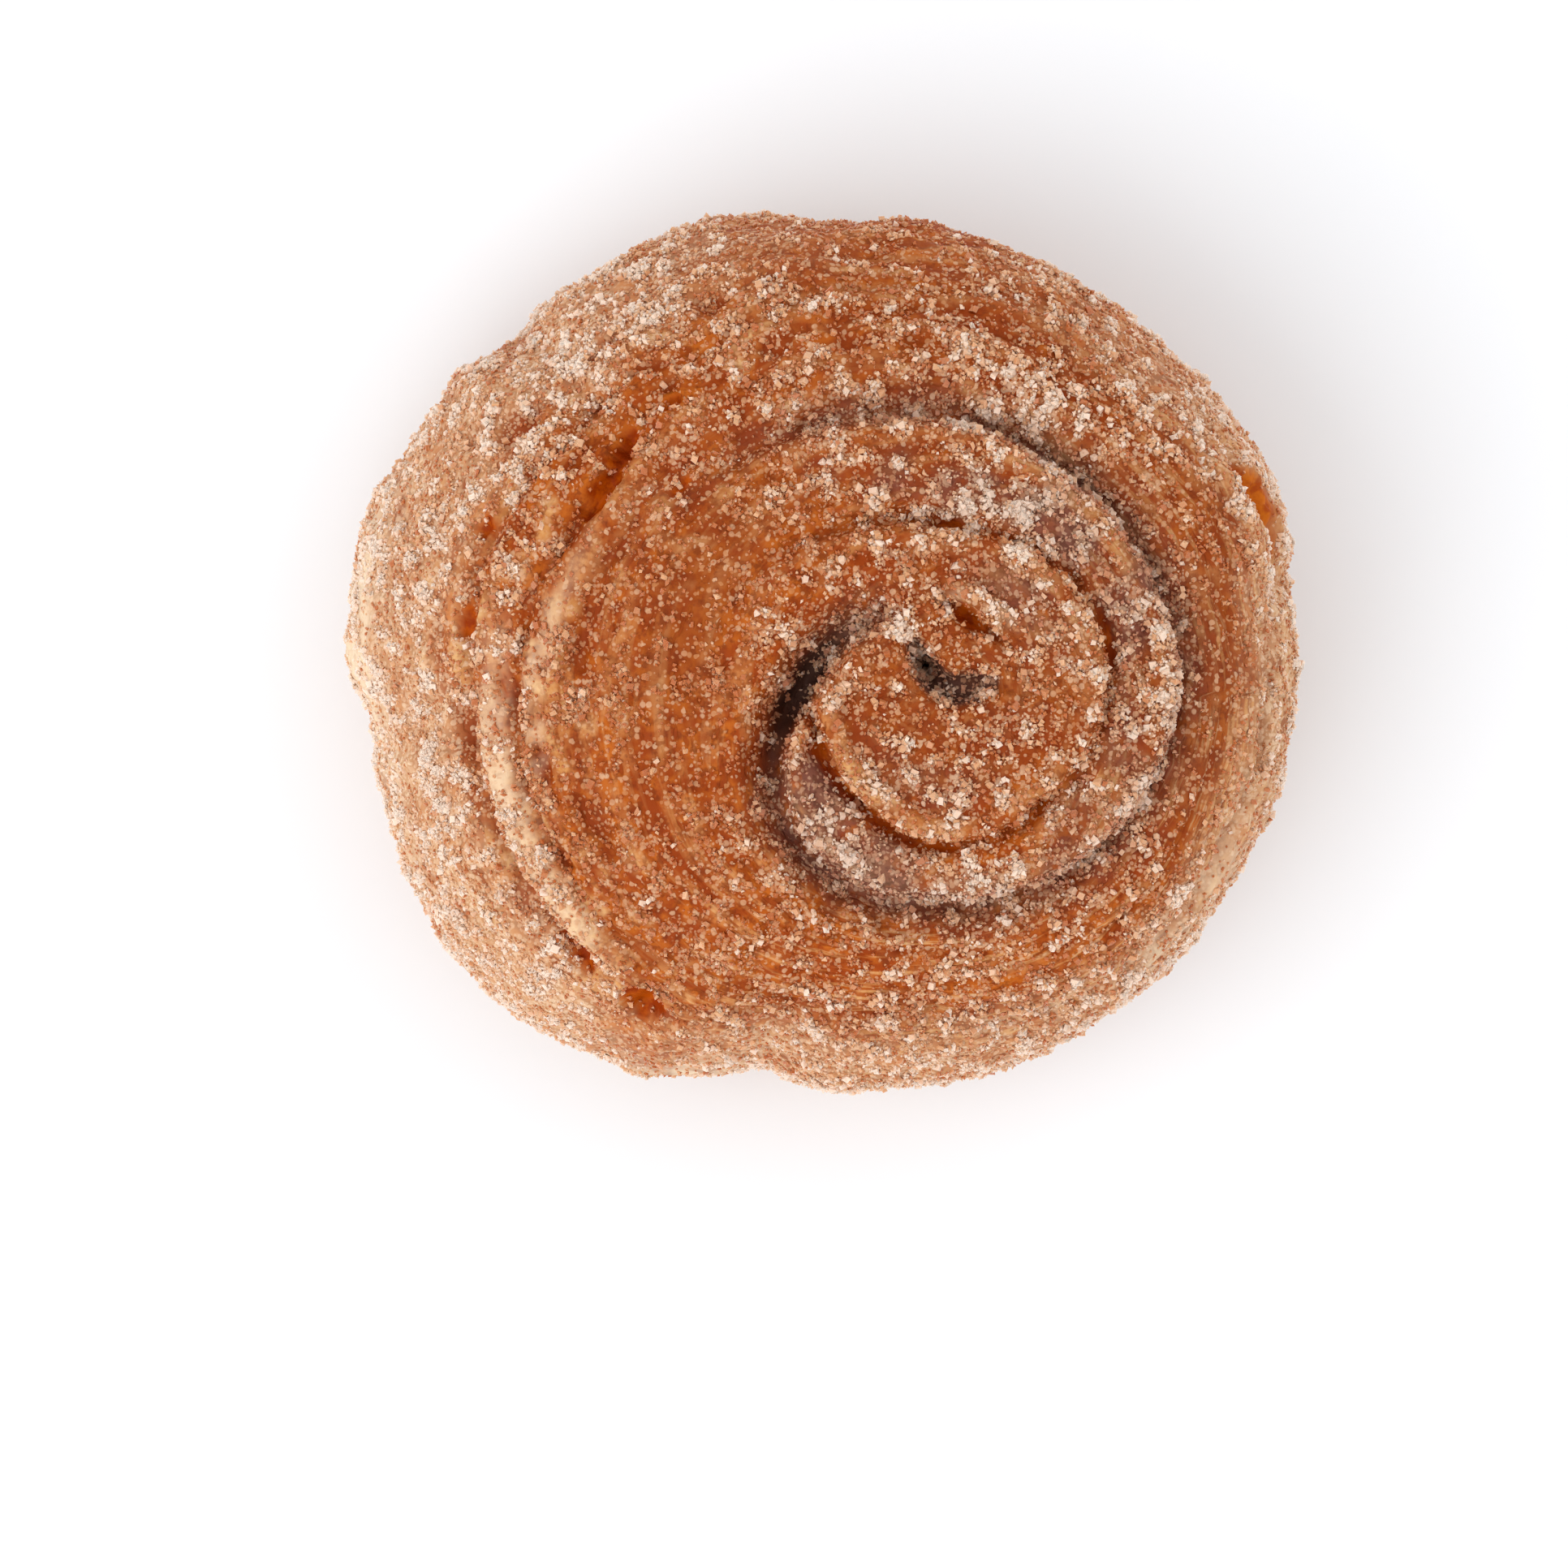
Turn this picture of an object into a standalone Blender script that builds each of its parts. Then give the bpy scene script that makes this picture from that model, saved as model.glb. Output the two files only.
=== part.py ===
"""Cinnamon morning bun: a slice of a rolled log of laminated dough, baked with its cut face up.

The bun stands on a flat base at Z = 0, with the middle of its outline on the Z axis. Its swirl is off
centre, towards +X. Angles are in degrees anticlockwise from +X, about the swirl's centre. An angle that
goes along a seam keeps counting past 360 with each turn.
"""

import bpy
import numpy as np
from mathutils import Vector, noise

MM = 0.001

# Driving dimensions, in millimetres
BUN_WIDTH = 108.4
BUN_DEPTH = 99.8
BUN_HEIGHT = 54.0
SWIRL_CENTRE = (14.2, -5.1)
RIM_LEVEL = 20.0
RIM_LEVEL_SWAY = 3.0
FOOT_TAPER = 5.0
FOOT_ROUNDING = 6.0
FOOT_LUMPINESS = 0.35

# The dome's section is a superellipse, squarer on the swirl's side than on the long left slope
ROUNDNESS_SWIRL_SIDE = 2.9
ROUNDNESS_LONG_SIDE = 2.35

# Bulges and dents of the outline about the bun's middle: angle, height in mm, half width in degrees
OUTLINE_LUMPS = (
    (22, 2.0, 8), (86, -0.9, 8), (118, -1.3, 10), (134, -2.6, 6), (152, -1.0, 9), (190, -2.3, 9),
    (230, 2.0, 18), (262, -2.4, 7), (316, 1.7, 26), (14, 0.8, 4), (181, 0.6, 4), (247, 0.8, 3),
)

# Each seam: angle, distance from the swirl's centre, depth and half width of its floor, all lengths in mm
MAIN_SEAM = (
    (310, 6.5, 0.0, 0.0), (360, 9.3, 0.3, 0.0), (396, 10.7, 0.4, 0.0), (440, 11.8, 0.3, 0.0),
    (476, 11.0, 0.3, 0.0), (486, 11.5, 3.6, 0.4), (498, 12.2, 5.6, 0.6), (512, 13.2, 7.8, 0.7),
    (528, 14.6, 10.5, 0.8), (543, 16.5, 12.0, 0.9), (556, 19.4, 8.0, 0.7), (572, 22.6, 5.2, 0.4),
    (600, 24.3, 4.8, 0.4), (630, 24.0, 5.2, 0.5), (660, 24.6, 4.2, 0.2), (690, 26.1, 3.6, 0.1),
    (720, 27.7, 3.8, 0.1), (750, 28.0, 4.2, 0.3), (780, 29.5, 4.8, 0.4), (808, 31.8, 4.4, 0.6),
    (832, 33.6, 3.4, 0.5), (850, 35.4, 1.2, 0.1), (870, 38.0, 0.7, 0.0), (900, 40.8, 0.4, 0.0),
    (930, 41.6, 0.4, 0.0), (965, 38.0, 0.6, 0.0), (985, 35.7, 1.0, 0.0), (1000, 36.0, 0.8, 0.0),
    (1040, 35.5, 0.0, 0.0),
)
INNER_SEAM = (
    (168, 15.5, 0.0, 0.0), (180, 15.4, 8.0, 0.2), (195, 15.0, 4.4, 0.2), (210, 14.9, 3.2, 0.3),
    (240, 15.6, 3.2, 0.4), (262, 16.9, 2.8, 0.3), (285, 17.0, 1.6, 0.0), (310, 16.6, 2.8, 0.4),
    (340, 18.0, 1.8, 0.0), (375, 19.6, 2.6, 0.4), (400, 19.8, 2.2, 0.3), (430, 19.2, 1.8, 0.3),
    (448, 18.9, 2.6, 0.6), (476, 21.2, 2.0, 0.3), (492, 23.2, 1.4, 0.1), (510, 25.5, 0.7, 0.0),
    (545, 28.0, 0.4, 0.0), (600, 30.0, 0.4, 0.0), (628, 28.4, 1.2, 0.0), (650, 28.6, 0.0, 0.0),
)
RIM_SEAM = (
    (50, 41.0, 0.0, 0.0), (75, 45.0, 0.6, 0.0), (100, 46.6, 0.9, 0.0), (131, 47.2, 0.6, 0.0),
    (137, 45.8, 0.9, 0.1), (147, 45.4, 1.0, 0.1), (156, 45.8, 1.2, 0.1), (165, 47.9, 1.4, 0.1),
    (178, 48.6, 1.5, 0.1), (190, 48.3, 1.2, 0.1), (202, 47.2, 1.1, 0.0), (212, 46.4, 0.7, 0.0),
    (226, 46.2, 0.8, 0.0), (233, 45.0, 1.0, 0.0), (250, 41.4, 1.2, 0.0), (268, 38.9, 1.6, 0.0),
    (300, 37.1, 1.6, 0.0), (330, 36.7, 1.8, 0.0), (360, 36.9, 1.6, 0.0), (376, 39.4, 1.2, 0.1),
    (382, 41.8, 3.2, 0.3), (393, 42.3, 3.2, 0.3), (403, 42.8, 2.4, 0.2), (410, 43.6, 0.0, 0.0),
)
FLANK_CRACK = (
    (134, 50.2, 0.0, 0.0), (138, 50.4, 1.6, 0.2), (146, 51.2, 1.7, 0.2), (152, 52.4, 0.6, 0.0),
    (158, 54.2, 1.9, 0.3), (165, 54.4, 1.0, 0.1), (171, 54.4, 2.0, 0.3), (178, 54.0, 0.8, 0.0),
    (187, 53.9, 1.7, 0.2), (195, 52.6, 1.2, 0.1), (203, 51.7, 1.9, 0.2), (209, 51.3, 2.2, 0.3),
    (214, 50.2, 2.4, 0.4), (219, 49.0, 0.0, 0.0),
)
CURL_SEAM = (
    (26, 9.8, 0.0, 0.0), (40, 9.2, 1.2, 0.1), (54, 9.0, 2.6, 0.5), (66, 9.2, 3.2, 0.8),
    (78, 9.8, 3.0, 0.7), (88, 10.3, 2.0, 0.4), (98, 11.2, 0.0, 0.0),
)
# Each seam with the reach of its inner and outer walls, and the rise of the lips along them, in mm
SEAMS = (
    (MAIN_SEAM, 1.9, 4.8, 0.5, 0.0), (INNER_SEAM, 1.0, 2.0, 0.9, 0.0), (RIM_SEAM, 0.9, 1.4, 0.6, 0.3),
    (FLANK_CRACK, 0.9, 1.5, 0.5, 0.2), (CURL_SEAM, 1.6, 0.8, 0.0, 1.5),
)
SEAM_SMOOTHING = (-4.0, -2.0, 0.0, 2.0, 4.0)
LIP_WIDTH = 2.3
LIP_DEPTHS = (1.3, 3.0)
SEAM_BLEND = 4

# Pale edges of two layers that stand proud on the long left slope: angle, distance and rise in mm
UPPER_RIDGE = (
    (128, 41.4, 0.0), (136, 42.2, 0.7), (146, 42.2, 1.0), (154, 42.6, 1.1), (162, 43.4, 1.0),
    (170, 44.5, 1.0), (178, 45.4, 0.9), (186, 46.2, 0.5), (193, 46.8, 0.0),
)
LOWER_RIDGE = (
    (168, 51.0, 0.0), (175, 51.1, 0.5), (183, 51.2, 0.8), (191, 50.9, 0.9), (197, 50.1, 1.0),
    (203, 49.3, 1.1), (209, 48.8, 1.1), (215, 48.0, 0.9), (221, 47.2, 0.0),
)
RIDGES = ((UPPER_RIDGE, 3.4), (LOWER_RIDGE, 2.4))

# The pit where the roll's inner end curls under: place from the swirl's centre, depth and half width
PIT = (
    (-4.2, 7.2, 0.0, 0.1), (-3.0, 5.2, 4.4, 0.3), (-2.0, 3.2, 10.0, 0.6), (-0.8, 1.5, 5.2, 0.8),
    (1.2, 0.5, 4.2, 1.1), (3.4, 0.9, 3.6, 1.1), (5.4, 1.4, 2.4, 0.7), (7.2, 1.7, 0.0, 0.3),
)
PIT_REACH = 1.6

# Holes between torn layers: place from the swirl's centre, their bearing, half length, half width, depth
HOLES = (
    (-37.9, 24.7, 60, 6.3, 1.05, 3.6),
    (-34.0, -34.8, -32, 2.9, 1.3, 2.4),
    (-42.0, -29.3, -50, 3.2, 0.7, 2.2),
)
HOLE_REACH = 0.7

# Laminated layers that show as low ridges along the rim
LAYER_PITCH = 2.7
LAYER_RELIEF = 0.25
LAYER_START = 0.70

# Unevenness of the risen dough: wavelength and height in mm
SWELLS = ((15.0, 0.9), (6.5, 0.35))
SEED_POINT = (3.7, 1.9, 8.3)

SEGMENTS = 300
DOME_RINGS = 112
FLANK_RINGS = 26
CRUST_TRIANGLES = 11000


def bump(distance, half_width):
    """A smooth bump, 1 at distance 0."""
    return np.exp(-((distance / half_width) ** 2))


def ease(value, low, high):
    """0 below low, 1 above high, smooth between."""
    share = np.clip((value - low) / (high - low), 0, 1)
    return share * share * (3 - 2 * share)


def shelf(aside, edge, width, slope=0.45):
    """A flat-topped rise from an edge to width beyond it, with short slopes at its sides."""
    far = edge + width
    return ease(aside, edge - slope, edge + slope) * (1 - ease(aside, far - slope, far + slope))


def outline_radius(angle, lumpiness):
    """The outline's distance from the bun's middle: an oval with lumps."""
    across = np.cos(np.radians(angle)) / (BUN_WIDTH / 2)
    along = np.sin(np.radians(angle)) / (BUN_DEPTH / 2)
    radius = 1 / np.hypot(across, along)
    for centre, height, width in OUTLINE_LUMPS:
        radius = radius + lumpiness * height * bump((angle - centre + 180) % 360 - 180, width)
    return radius


def along_seam(seam, column, angle):
    """A seam's size at an angle, read between its stations and smoothed."""
    angles, values = [row[0] for row in seam], [row[column] for row in seam]
    return sum(np.interp(angle + step, angles, values) for step in SEAM_SMOOTHING) / len(SEAM_SMOOTHING)


def crease(aside, floor, inner_reach, outer_reach):
    """A groove, 1 on its floor: steep below the inner turn's edge, gentle up onto the next turn."""
    rise = 1 - np.clip((np.abs(aside) - floor) / np.where(aside < 0, inner_reach, outer_reach), 0, 1)
    return rise**2 * (3 - rise) / 2


def seam_relief(angle, radius):
    """Depth below the dome of every seam together, and the rise of the lips along them."""
    depths, lips = np.zeros_like(radius), np.zeros_like(radius)
    for seam, inner_reach, outer_reach, inner_lip, outer_lip in SEAMS:
        for turn in range(4):
            unwound = angle % 360 + 360 * turn
            present = (unwound >= seam[0][0]) & (unwound <= seam[-1][0])
            aside = radius - along_seam(seam, 1, unwound)
            depth = along_seam(seam, 2, unwound) * present
            floor = along_seam(seam, 3, unwound)
            depths += (depth * crease(aside, floor, inner_reach, outer_reach)) ** SEAM_BLEND
            strength = ease(depth, *LIP_DEPTHS)
            lips += inner_lip * strength * shelf(-aside, floor + 0.5 * inner_reach, LIP_WIDTH)
            lips += outer_lip * strength * shelf(aside, floor + 0.5 * outer_reach, LIP_WIDTH)
    return depths, lips


def ridge_relief(angle, radius):
    """Rise of the proud layer edges."""
    rise = np.zeros_like(radius)
    for ridge, width in RIDGES:
        unwound = angle % 360
        present = (unwound >= ridge[0][0]) & (unwound <= ridge[-1][0])
        aside = radius - along_seam(ridge, 1, unwound)
        rise += along_seam(ridge, 2, unwound) * present * shelf(aside, -width / 2, width, 0.6)
    return rise


def pit_relief(x, y):
    """Depth of the pit at points measured from the swirl's centre."""
    deepest = np.zeros_like(x)
    for (start_x, start_y, *start), (end_x, end_y, *end) in zip(PIT, PIT[1:]):
        run_x, run_y = end_x - start_x, end_y - start_y
        share = np.clip(((x - start_x) * run_x + (y - start_y) * run_y) / (run_x**2 + run_y**2), 0, 1)
        aside = np.hypot(x - start_x - share * run_x, y - start_y - share * run_y)
        depth, floor = [first + (last - first) * share for first, last in zip(start, end)]
        deepest = np.maximum(deepest, depth * crease(aside, floor, PIT_REACH, PIT_REACH))
    return deepest


def hole_relief(x, y):
    """Depth of the holes at points measured from the swirl's centre."""
    deepest = np.zeros_like(x)
    for middle_x, middle_y, bearing, half_length, half_width, depth in HOLES:
        turn = np.radians(bearing)
        along = (x - middle_x) * np.cos(turn) + (y - middle_y) * np.sin(turn)
        aside = (y - middle_y) * np.cos(turn) - (x - middle_x) * np.sin(turn)
        open_share = np.sqrt(np.clip(1 - (along / half_length) ** 2, 0, 1))
        hole = depth * open_share * crease(aside, half_width * open_share, HOLE_REACH, HOLE_REACH)
        deepest = np.maximum(deepest, hole)
    return deepest


def layer_relief(inset, share, angle):
    """Low ridges parallel to the rim, strongest near it and fading in and out along the way."""
    waver = 0.8 * np.sin(np.radians(3 * angle + 40)) + 0.5 * np.sin(np.radians(7 * angle))
    strength = np.clip((share - LAYER_START) / (1 - LAYER_START), 0, 1)
    strength = strength * (0.6 + 0.4 * np.sin(np.radians(5 * angle + 20)))
    return LAYER_RELIEF * strength * np.cos(2 * np.pi * (inset + waver) / LAYER_PITCH)


def swell(x, y, z):
    """The dough's gentle unevenness at each point."""
    seed = Vector(SEED_POINT)
    rise = np.zeros(x.shape)
    for index in np.ndindex(x.shape):
        point = Vector((x[index], y[index], z[index]))
        rise[index] = sum(height * noise.noise(point / wave + seed) for wave, height in SWELLS)
    return rise


def dome(angle, outline):
    """Points of the bun above its rim, ring by ring from the swirl's centre."""
    slope = np.linspace(0, np.pi / 2, DOME_RINGS + 1)[1:, None]
    middle = np.array(SWIRL_CENTRE)
    rim = np.stack([outline * np.cos(np.radians(angle)), outline * np.sin(np.radians(angle))])
    spoke = rim - middle[:, None]
    bearing = np.degrees(np.arctan2(spoke[1], spoke[0]))
    swirl_side = (1 + np.cos(np.radians(bearing))) / 2
    power = 2 / (ROUNDNESS_LONG_SIDE + (ROUNDNESS_SWIRL_SIDE - ROUNDNESS_LONG_SIDE) * swirl_side)
    share = np.sin(slope) ** power
    rim_level = RIM_LEVEL + RIM_LEVEL_SWAY * np.cos(np.radians(bearing))
    z = rim_level + (BUN_HEIGHT - rim_level) * np.cos(slope) ** power
    x = middle[0] + share * spoke[0]
    y = middle[1] + share * spoke[1]
    reach = np.hypot(*spoke)
    radius = share * reach
    bearing = np.broadcast_to(bearing, radius.shape)

    depths, lips = seam_relief(bearing, radius)
    depths += pit_relief(x - middle[0], y - middle[1]) ** SEAM_BLEND
    depths += hole_relief(x - middle[0], y - middle[1]) ** SEAM_BLEND
    rise = lips + ridge_relief(bearing, radius) - depths ** (1 / SEAM_BLEND)
    rise += layer_relief(reach - radius, share, bearing) + swell(x, y, z)
    outwards = np.sin(slope) ** 3
    upwards = np.cos(slope)
    length = np.hypot(outwards, upwards)
    x = x + rise * outwards / length * np.cos(np.radians(angle))
    y = y + rise * outwards / length * np.sin(np.radians(angle))
    z = z + rise * upwards / length
    return x, y, z, rise[-1]


def flank(angle, rim_level, rim_rise):
    """Points of the side below the rim, ring by ring down to the foot."""
    down = np.linspace(0, 1, FLANK_RINGS + 1)[1:, None]
    inset = FOOT_TAPER * down + FOOT_ROUNDING * (1 - np.sqrt(1 - down**4))
    radius = outline_radius(angle, 1 - (1 - FOOT_LUMPINESS) * down) - inset
    z = rim_level * (1 - down) + 0 * angle
    x = radius * np.cos(np.radians(angle))
    y = radius * np.sin(np.radians(angle))
    rise = rim_rise * (1 - down) + swell(x, y, z) * down
    x = x + rise * np.cos(np.radians(angle))
    y = y + rise * np.sin(np.radians(angle))
    return x, y, z


def to_size(points):
    """Points moved and stretched a little, so that the bun has exactly its driving dimensions."""
    low, high = points.min(axis=0), points.max(axis=0)
    size = np.array([BUN_WIDTH, BUN_DEPTH, BUN_HEIGHT])
    middle = np.array([(low[0] + high[0]) / 2, (low[1] + high[1]) / 2, 0.0])
    return (points - middle) * size / (high - low)


def make_bun():
    angle = np.arange(SEGMENTS) * 360 / SEGMENTS
    x, y, z, rim_rise = dome(angle, outline_radius(angle, 1.0))
    side_x, side_y, side_z = flank(angle, z[-1], rim_rise)
    rings = np.stack([np.vstack([x, side_x]), np.vstack([y, side_y]), np.vstack([z, side_z])], axis=-1)
    top = rings[0].mean(axis=0)
    points = to_size(np.vstack([top, rings.reshape(-1, 3)])) * MM

    count = DOME_RINGS + FLANK_RINGS
    index = 1 + np.arange(count * SEGMENTS).reshape(count, SEGMENTS)
    after = np.roll(index, -1, axis=1)
    faces = [(0, a, b) for a, b in zip(index[0], after[0])]
    for ring in range(count - 1):
        quads = zip(index[ring], index[ring + 1], after[ring + 1], after[ring])
        faces += [tuple(quad) for quad in quads]
    faces.append(tuple(index[-1][::-1]))

    mesh = bpy.data.meshes.new("morning_bun")
    mesh.from_pydata(points.tolist(), [], [tuple(int(i) for i in face) for face in faces])
    mesh.validate()
    mesh.shade_smooth()
    bun = bpy.data.objects.new("morning_bun", mesh)
    bpy.context.scene.collection.objects.link(bun)
    corners = sum(len(face) - 2 for face in faces)
    thinning = bun.modifiers.new("fewer_triangles", "DECIMATE")
    thinning.ratio = CRUST_TRIANGLES / corners
    return bun


def crust_material():
    """Baked, sugared crust: warm brown and rough."""
    material = bpy.data.materials.new("sugared_crust")
    material.use_nodes = True
    shader = material.node_tree.nodes["Principled BSDF"]
    shader.inputs["Base Color"].default_value = (0.47, 0.20, 0.10, 1)
    shader.inputs["Roughness"].default_value = 0.7
    shader.inputs["Metallic"].default_value = 0.0
    return material


def main():
    for obj in list(bpy.data.objects):
        bpy.data.objects.remove(obj)
    bun = make_bun()
    bun.data.materials.append(crust_material())


main()
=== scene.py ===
import math

import bpy
import numpy as np
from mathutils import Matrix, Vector, noise


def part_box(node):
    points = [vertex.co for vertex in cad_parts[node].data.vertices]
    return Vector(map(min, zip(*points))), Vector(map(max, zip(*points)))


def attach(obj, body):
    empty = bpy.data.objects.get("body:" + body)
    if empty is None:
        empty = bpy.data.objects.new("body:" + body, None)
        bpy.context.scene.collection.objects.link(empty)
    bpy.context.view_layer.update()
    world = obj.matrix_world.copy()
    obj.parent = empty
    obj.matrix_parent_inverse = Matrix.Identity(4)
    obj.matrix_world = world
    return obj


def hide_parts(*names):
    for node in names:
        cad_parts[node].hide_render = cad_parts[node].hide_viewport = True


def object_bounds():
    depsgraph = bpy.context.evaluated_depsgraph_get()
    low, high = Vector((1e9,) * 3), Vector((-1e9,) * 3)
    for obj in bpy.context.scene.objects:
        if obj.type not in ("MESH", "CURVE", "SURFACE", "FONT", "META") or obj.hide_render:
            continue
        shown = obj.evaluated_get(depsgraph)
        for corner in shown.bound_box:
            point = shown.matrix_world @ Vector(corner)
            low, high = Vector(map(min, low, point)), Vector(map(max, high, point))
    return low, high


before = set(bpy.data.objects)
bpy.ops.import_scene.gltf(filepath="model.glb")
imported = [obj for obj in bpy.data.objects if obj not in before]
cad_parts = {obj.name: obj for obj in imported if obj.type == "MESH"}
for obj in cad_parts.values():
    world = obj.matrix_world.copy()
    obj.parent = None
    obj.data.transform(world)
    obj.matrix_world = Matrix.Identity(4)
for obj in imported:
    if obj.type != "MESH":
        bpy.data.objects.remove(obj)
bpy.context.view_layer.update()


# The baked dough. A sheet of buttered, folded dough is rolled up with cinnamon, cut across and baked with the
# cut face up, so the top shows one strip wound round and round, and the side is the strip's own outer face.
# Lengths are in millimetres, and angles in degrees anticlockwise from +X about the swirl's centre.

MM = 0.001
SWIRL_CENTRE = (14.2, -5.1)
RIM_LEVEL = 20.0
RIM_LEVEL_SWAY = 3.0
FOOT_TAPER = 5.0
FOOT_ROUNDING = 6.0
FOOT_LUMPINESS = 0.35
ROUNDNESS_SWIRL_SIDE = 2.9
ROUNDNESS_LONG_SIDE = 2.35

# Bulges and dents of the outline: angle, height in mm, half width in degrees
OUTLINE_LUMPS = (
    (22, 2.0, 8), (86, -0.9, 8), (118, -1.3, 10), (134, -2.6, 6), (152, -1.0, 9),
    (190, -2.3, 9), (230, 2.0, 18), (262, -2.4, 7), (316, 1.7, 26),
    (14, 0.8, 4), (181, 0.6, 4), (194.5, 0.7, 1.5), (247, 0.8, 3),
)
OUTLINE_FRAY = 0.35

# Where the strip's turns meet: angle, distance from the swirl's centre, depth and half width of the floor
MAIN_SEAM = (
    (310, 6.5, 0.0, 0.0), (360, 9.3, 0.3, 0.0), (396, 10.7, 0.4, 0.0), (440, 11.8, 0.3, 0.0),
    (476, 11.0, 0.3, 0.0), (486, 11.5, 3.6, 0.4), (498, 12.2, 5.6, 0.6), (512, 13.2, 7.8, 0.7),
    (528, 14.6, 10.5, 0.8), (543, 16.5, 12.0, 1.1), (556, 19.4, 8.0, 0.8), (572, 22.6, 5.2, 0.4),
    (600, 24.3, 4.8, 0.4),
    (630, 24.0, 5.2, 0.5), (660, 24.6, 4.2, 0.2), (690, 26.1, 3.6, 0.1), (720, 27.7, 3.8, 0.1),
    (750, 28.0, 4.2, 0.3), (780, 29.5, 4.8, 0.4), (808, 31.8, 4.4, 0.6), (832, 33.6, 3.4, 0.5),
    (850, 35.4, 1.2, 0.1), (870, 38.0, 0.7, 0.0),
    (900, 40.8, 0.4, 0.0), (930, 41.6, 0.4, 0.0), (965, 38.0, 0.6, 0.0), (985, 35.7, 1.0, 0.0),
    (1000, 36.0, 0.8, 0.0), (1040, 35.5, 0.0, 0.0),
)
INNER_SEAM = (
    (168, 15.5, 0.0, 0.0), (180, 15.4, 8.0, 0.2), (195, 15.0, 4.4, 0.2), (210, 14.9, 3.2, 0.3),
    (240, 15.6, 3.2, 0.4), (262, 16.9, 2.8, 0.3), (285, 17.0, 1.6, 0.0), (310, 16.6, 2.8, 0.4),
    (340, 18.0, 1.8, 0.0), (375, 19.6, 2.6, 0.4), (400, 19.8, 2.2, 0.3), (430, 19.2, 1.8, 0.3),
    (448, 18.9, 2.6, 0.6), (476, 21.2, 2.0, 0.3), (492, 23.2, 1.4, 0.1), (510, 25.5, 0.7, 0.0),
    (545, 28.0, 0.4, 0.0),
    (600, 30.0, 0.4, 0.0), (628, 28.4, 1.2, 0.0), (650, 28.6, 0.0, 0.0),
)
RIM_SEAM = (
    (50, 41.0, 0.0, 0.0), (75, 45.0, 0.6, 0.0), (100, 46.6, 0.9, 0.0), (131, 47.2, 0.6, 0.0),
    (137, 45.8, 0.9, 0.1), (147, 45.4, 1.0, 0.1), (156, 45.8, 1.2, 0.1), (165, 47.9, 1.4, 0.1),
    (178, 48.6, 1.4, 0.1), (190, 48.3, 0.9, 0.1), (202, 47.2, 0.8, 0.0), (212, 46.4, 0.7, 0.0),
    (226, 46.2, 0.8, 0.0), (233, 45.0, 1.0, 0.0), (250, 41.4, 1.2, 0.0),
    (268, 38.9, 1.6, 0.0), (300, 37.1, 1.7, 0.0), (330, 36.7, 2.2, 0.1), (360, 36.9, 2.1, 0.1),
    (376, 39.4, 1.2, 0.1), (382, 41.8, 3.2, 0.3), (393, 42.3, 3.2, 0.3), (403, 42.8, 2.4, 0.2),
    (410, 43.6, 0.0, 0.0),
)
FLANK_CRACK = (
    (134, 50.2, 0.0, 0.0), (138, 50.4, 1.6, 0.2), (146, 51.2, 1.7, 0.2), (152, 52.4, 0.6, 0.0),
    (158, 54.2, 1.9, 0.3), (165, 54.4, 1.0, 0.1), (171, 54.4, 2.0, 0.3), (178, 54.0, 0.8, 0.0),
    (187, 53.9, 1.7, 0.2), (195, 52.6, 1.2, 0.1), (203, 51.7, 1.9, 0.2), (209, 51.3, 2.2, 0.3),
    (214, 50.2, 2.4, 0.4), (219, 49.0, 0.0, 0.0),
)
CURL_SEAM = (
    (26, 9.8, 0.0, 0.0), (40, 9.2, 1.2, 0.1), (54, 9.0, 2.6, 0.3), (66, 9.2, 3.2, 0.5),
    (78, 9.8, 3.0, 0.5), (88, 10.3, 2.0, 0.3), (98, 11.2, 0.0, 0.0),
)
# Each seam with the reach of its inner and outer walls, and the rise of the lips along them
SEAMS = (
    (MAIN_SEAM, 1.9, 4.8, 0.5, 0.0), (INNER_SEAM, 1.0, 2.0, 0.9, 0.0), (RIM_SEAM, 0.8, 1.2, 0.6, 0.3),
    (FLANK_CRACK, 0.8, 1.5, 0.5, 0.2), (CURL_SEAM, 1.6, 0.7, 0.0, 1.5),
)
SEAM_SMOOTHING = (-4.0, -2.0, 0.0, 2.0, 4.0)
LIP_WIDTH = 2.3
LIP_DEPTHS = (1.3, 3.0)
SEAM_BLEND = 4
# The torn edges wander to and fro: wavelength and reach
FRAY = ((3.6, 0.45), (1.5, 0.28))

# Pale edges of two layers that stand proud on the long slope: angle, distance and rise
UPPER_RIDGE = (
    (128, 41.4, 0.0), (136, 42.2, 0.3), (146, 42.2, 0.4), (154, 42.6, 0.5), (162, 43.4, 0.6),
    (170, 44.5, 0.7), (178, 45.4, 0.6), (184, 46.2, 0.3), (190, 46.8, 0.0),
)
LOWER_RIDGE = (
    (168, 51.0, 0.0), (175, 51.1, 0.3), (183, 51.2, 0.5), (191, 50.9, 0.7), (197, 50.1, 0.8),
    (203, 49.3, 0.9), (209, 48.8, 0.9), (215, 48.0, 0.7), (221, 47.2, 0.0),
)
RIDGES = ((UPPER_RIDGE, 3.4), (LOWER_RIDGE, 2.8))

# The pit where the roll's inner end curls under: place from the swirl's centre, depth, floor's half width
PIT = (
    (-4.2, 7.2, 0.0, 0.1), (-3.0, 5.2, 4.4, 0.3), (-2.0, 3.2, 10.0, 0.6), (-0.8, 1.5, 5.2, 0.8),
    (1.2, 0.5, 4.2, 1.1), (3.4, 0.9, 3.6, 1.1), (5.4, 1.4, 2.4, 0.7), (7.2, 1.7, 0.0, 0.3),
)
PIT_REACH = 1.6

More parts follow.
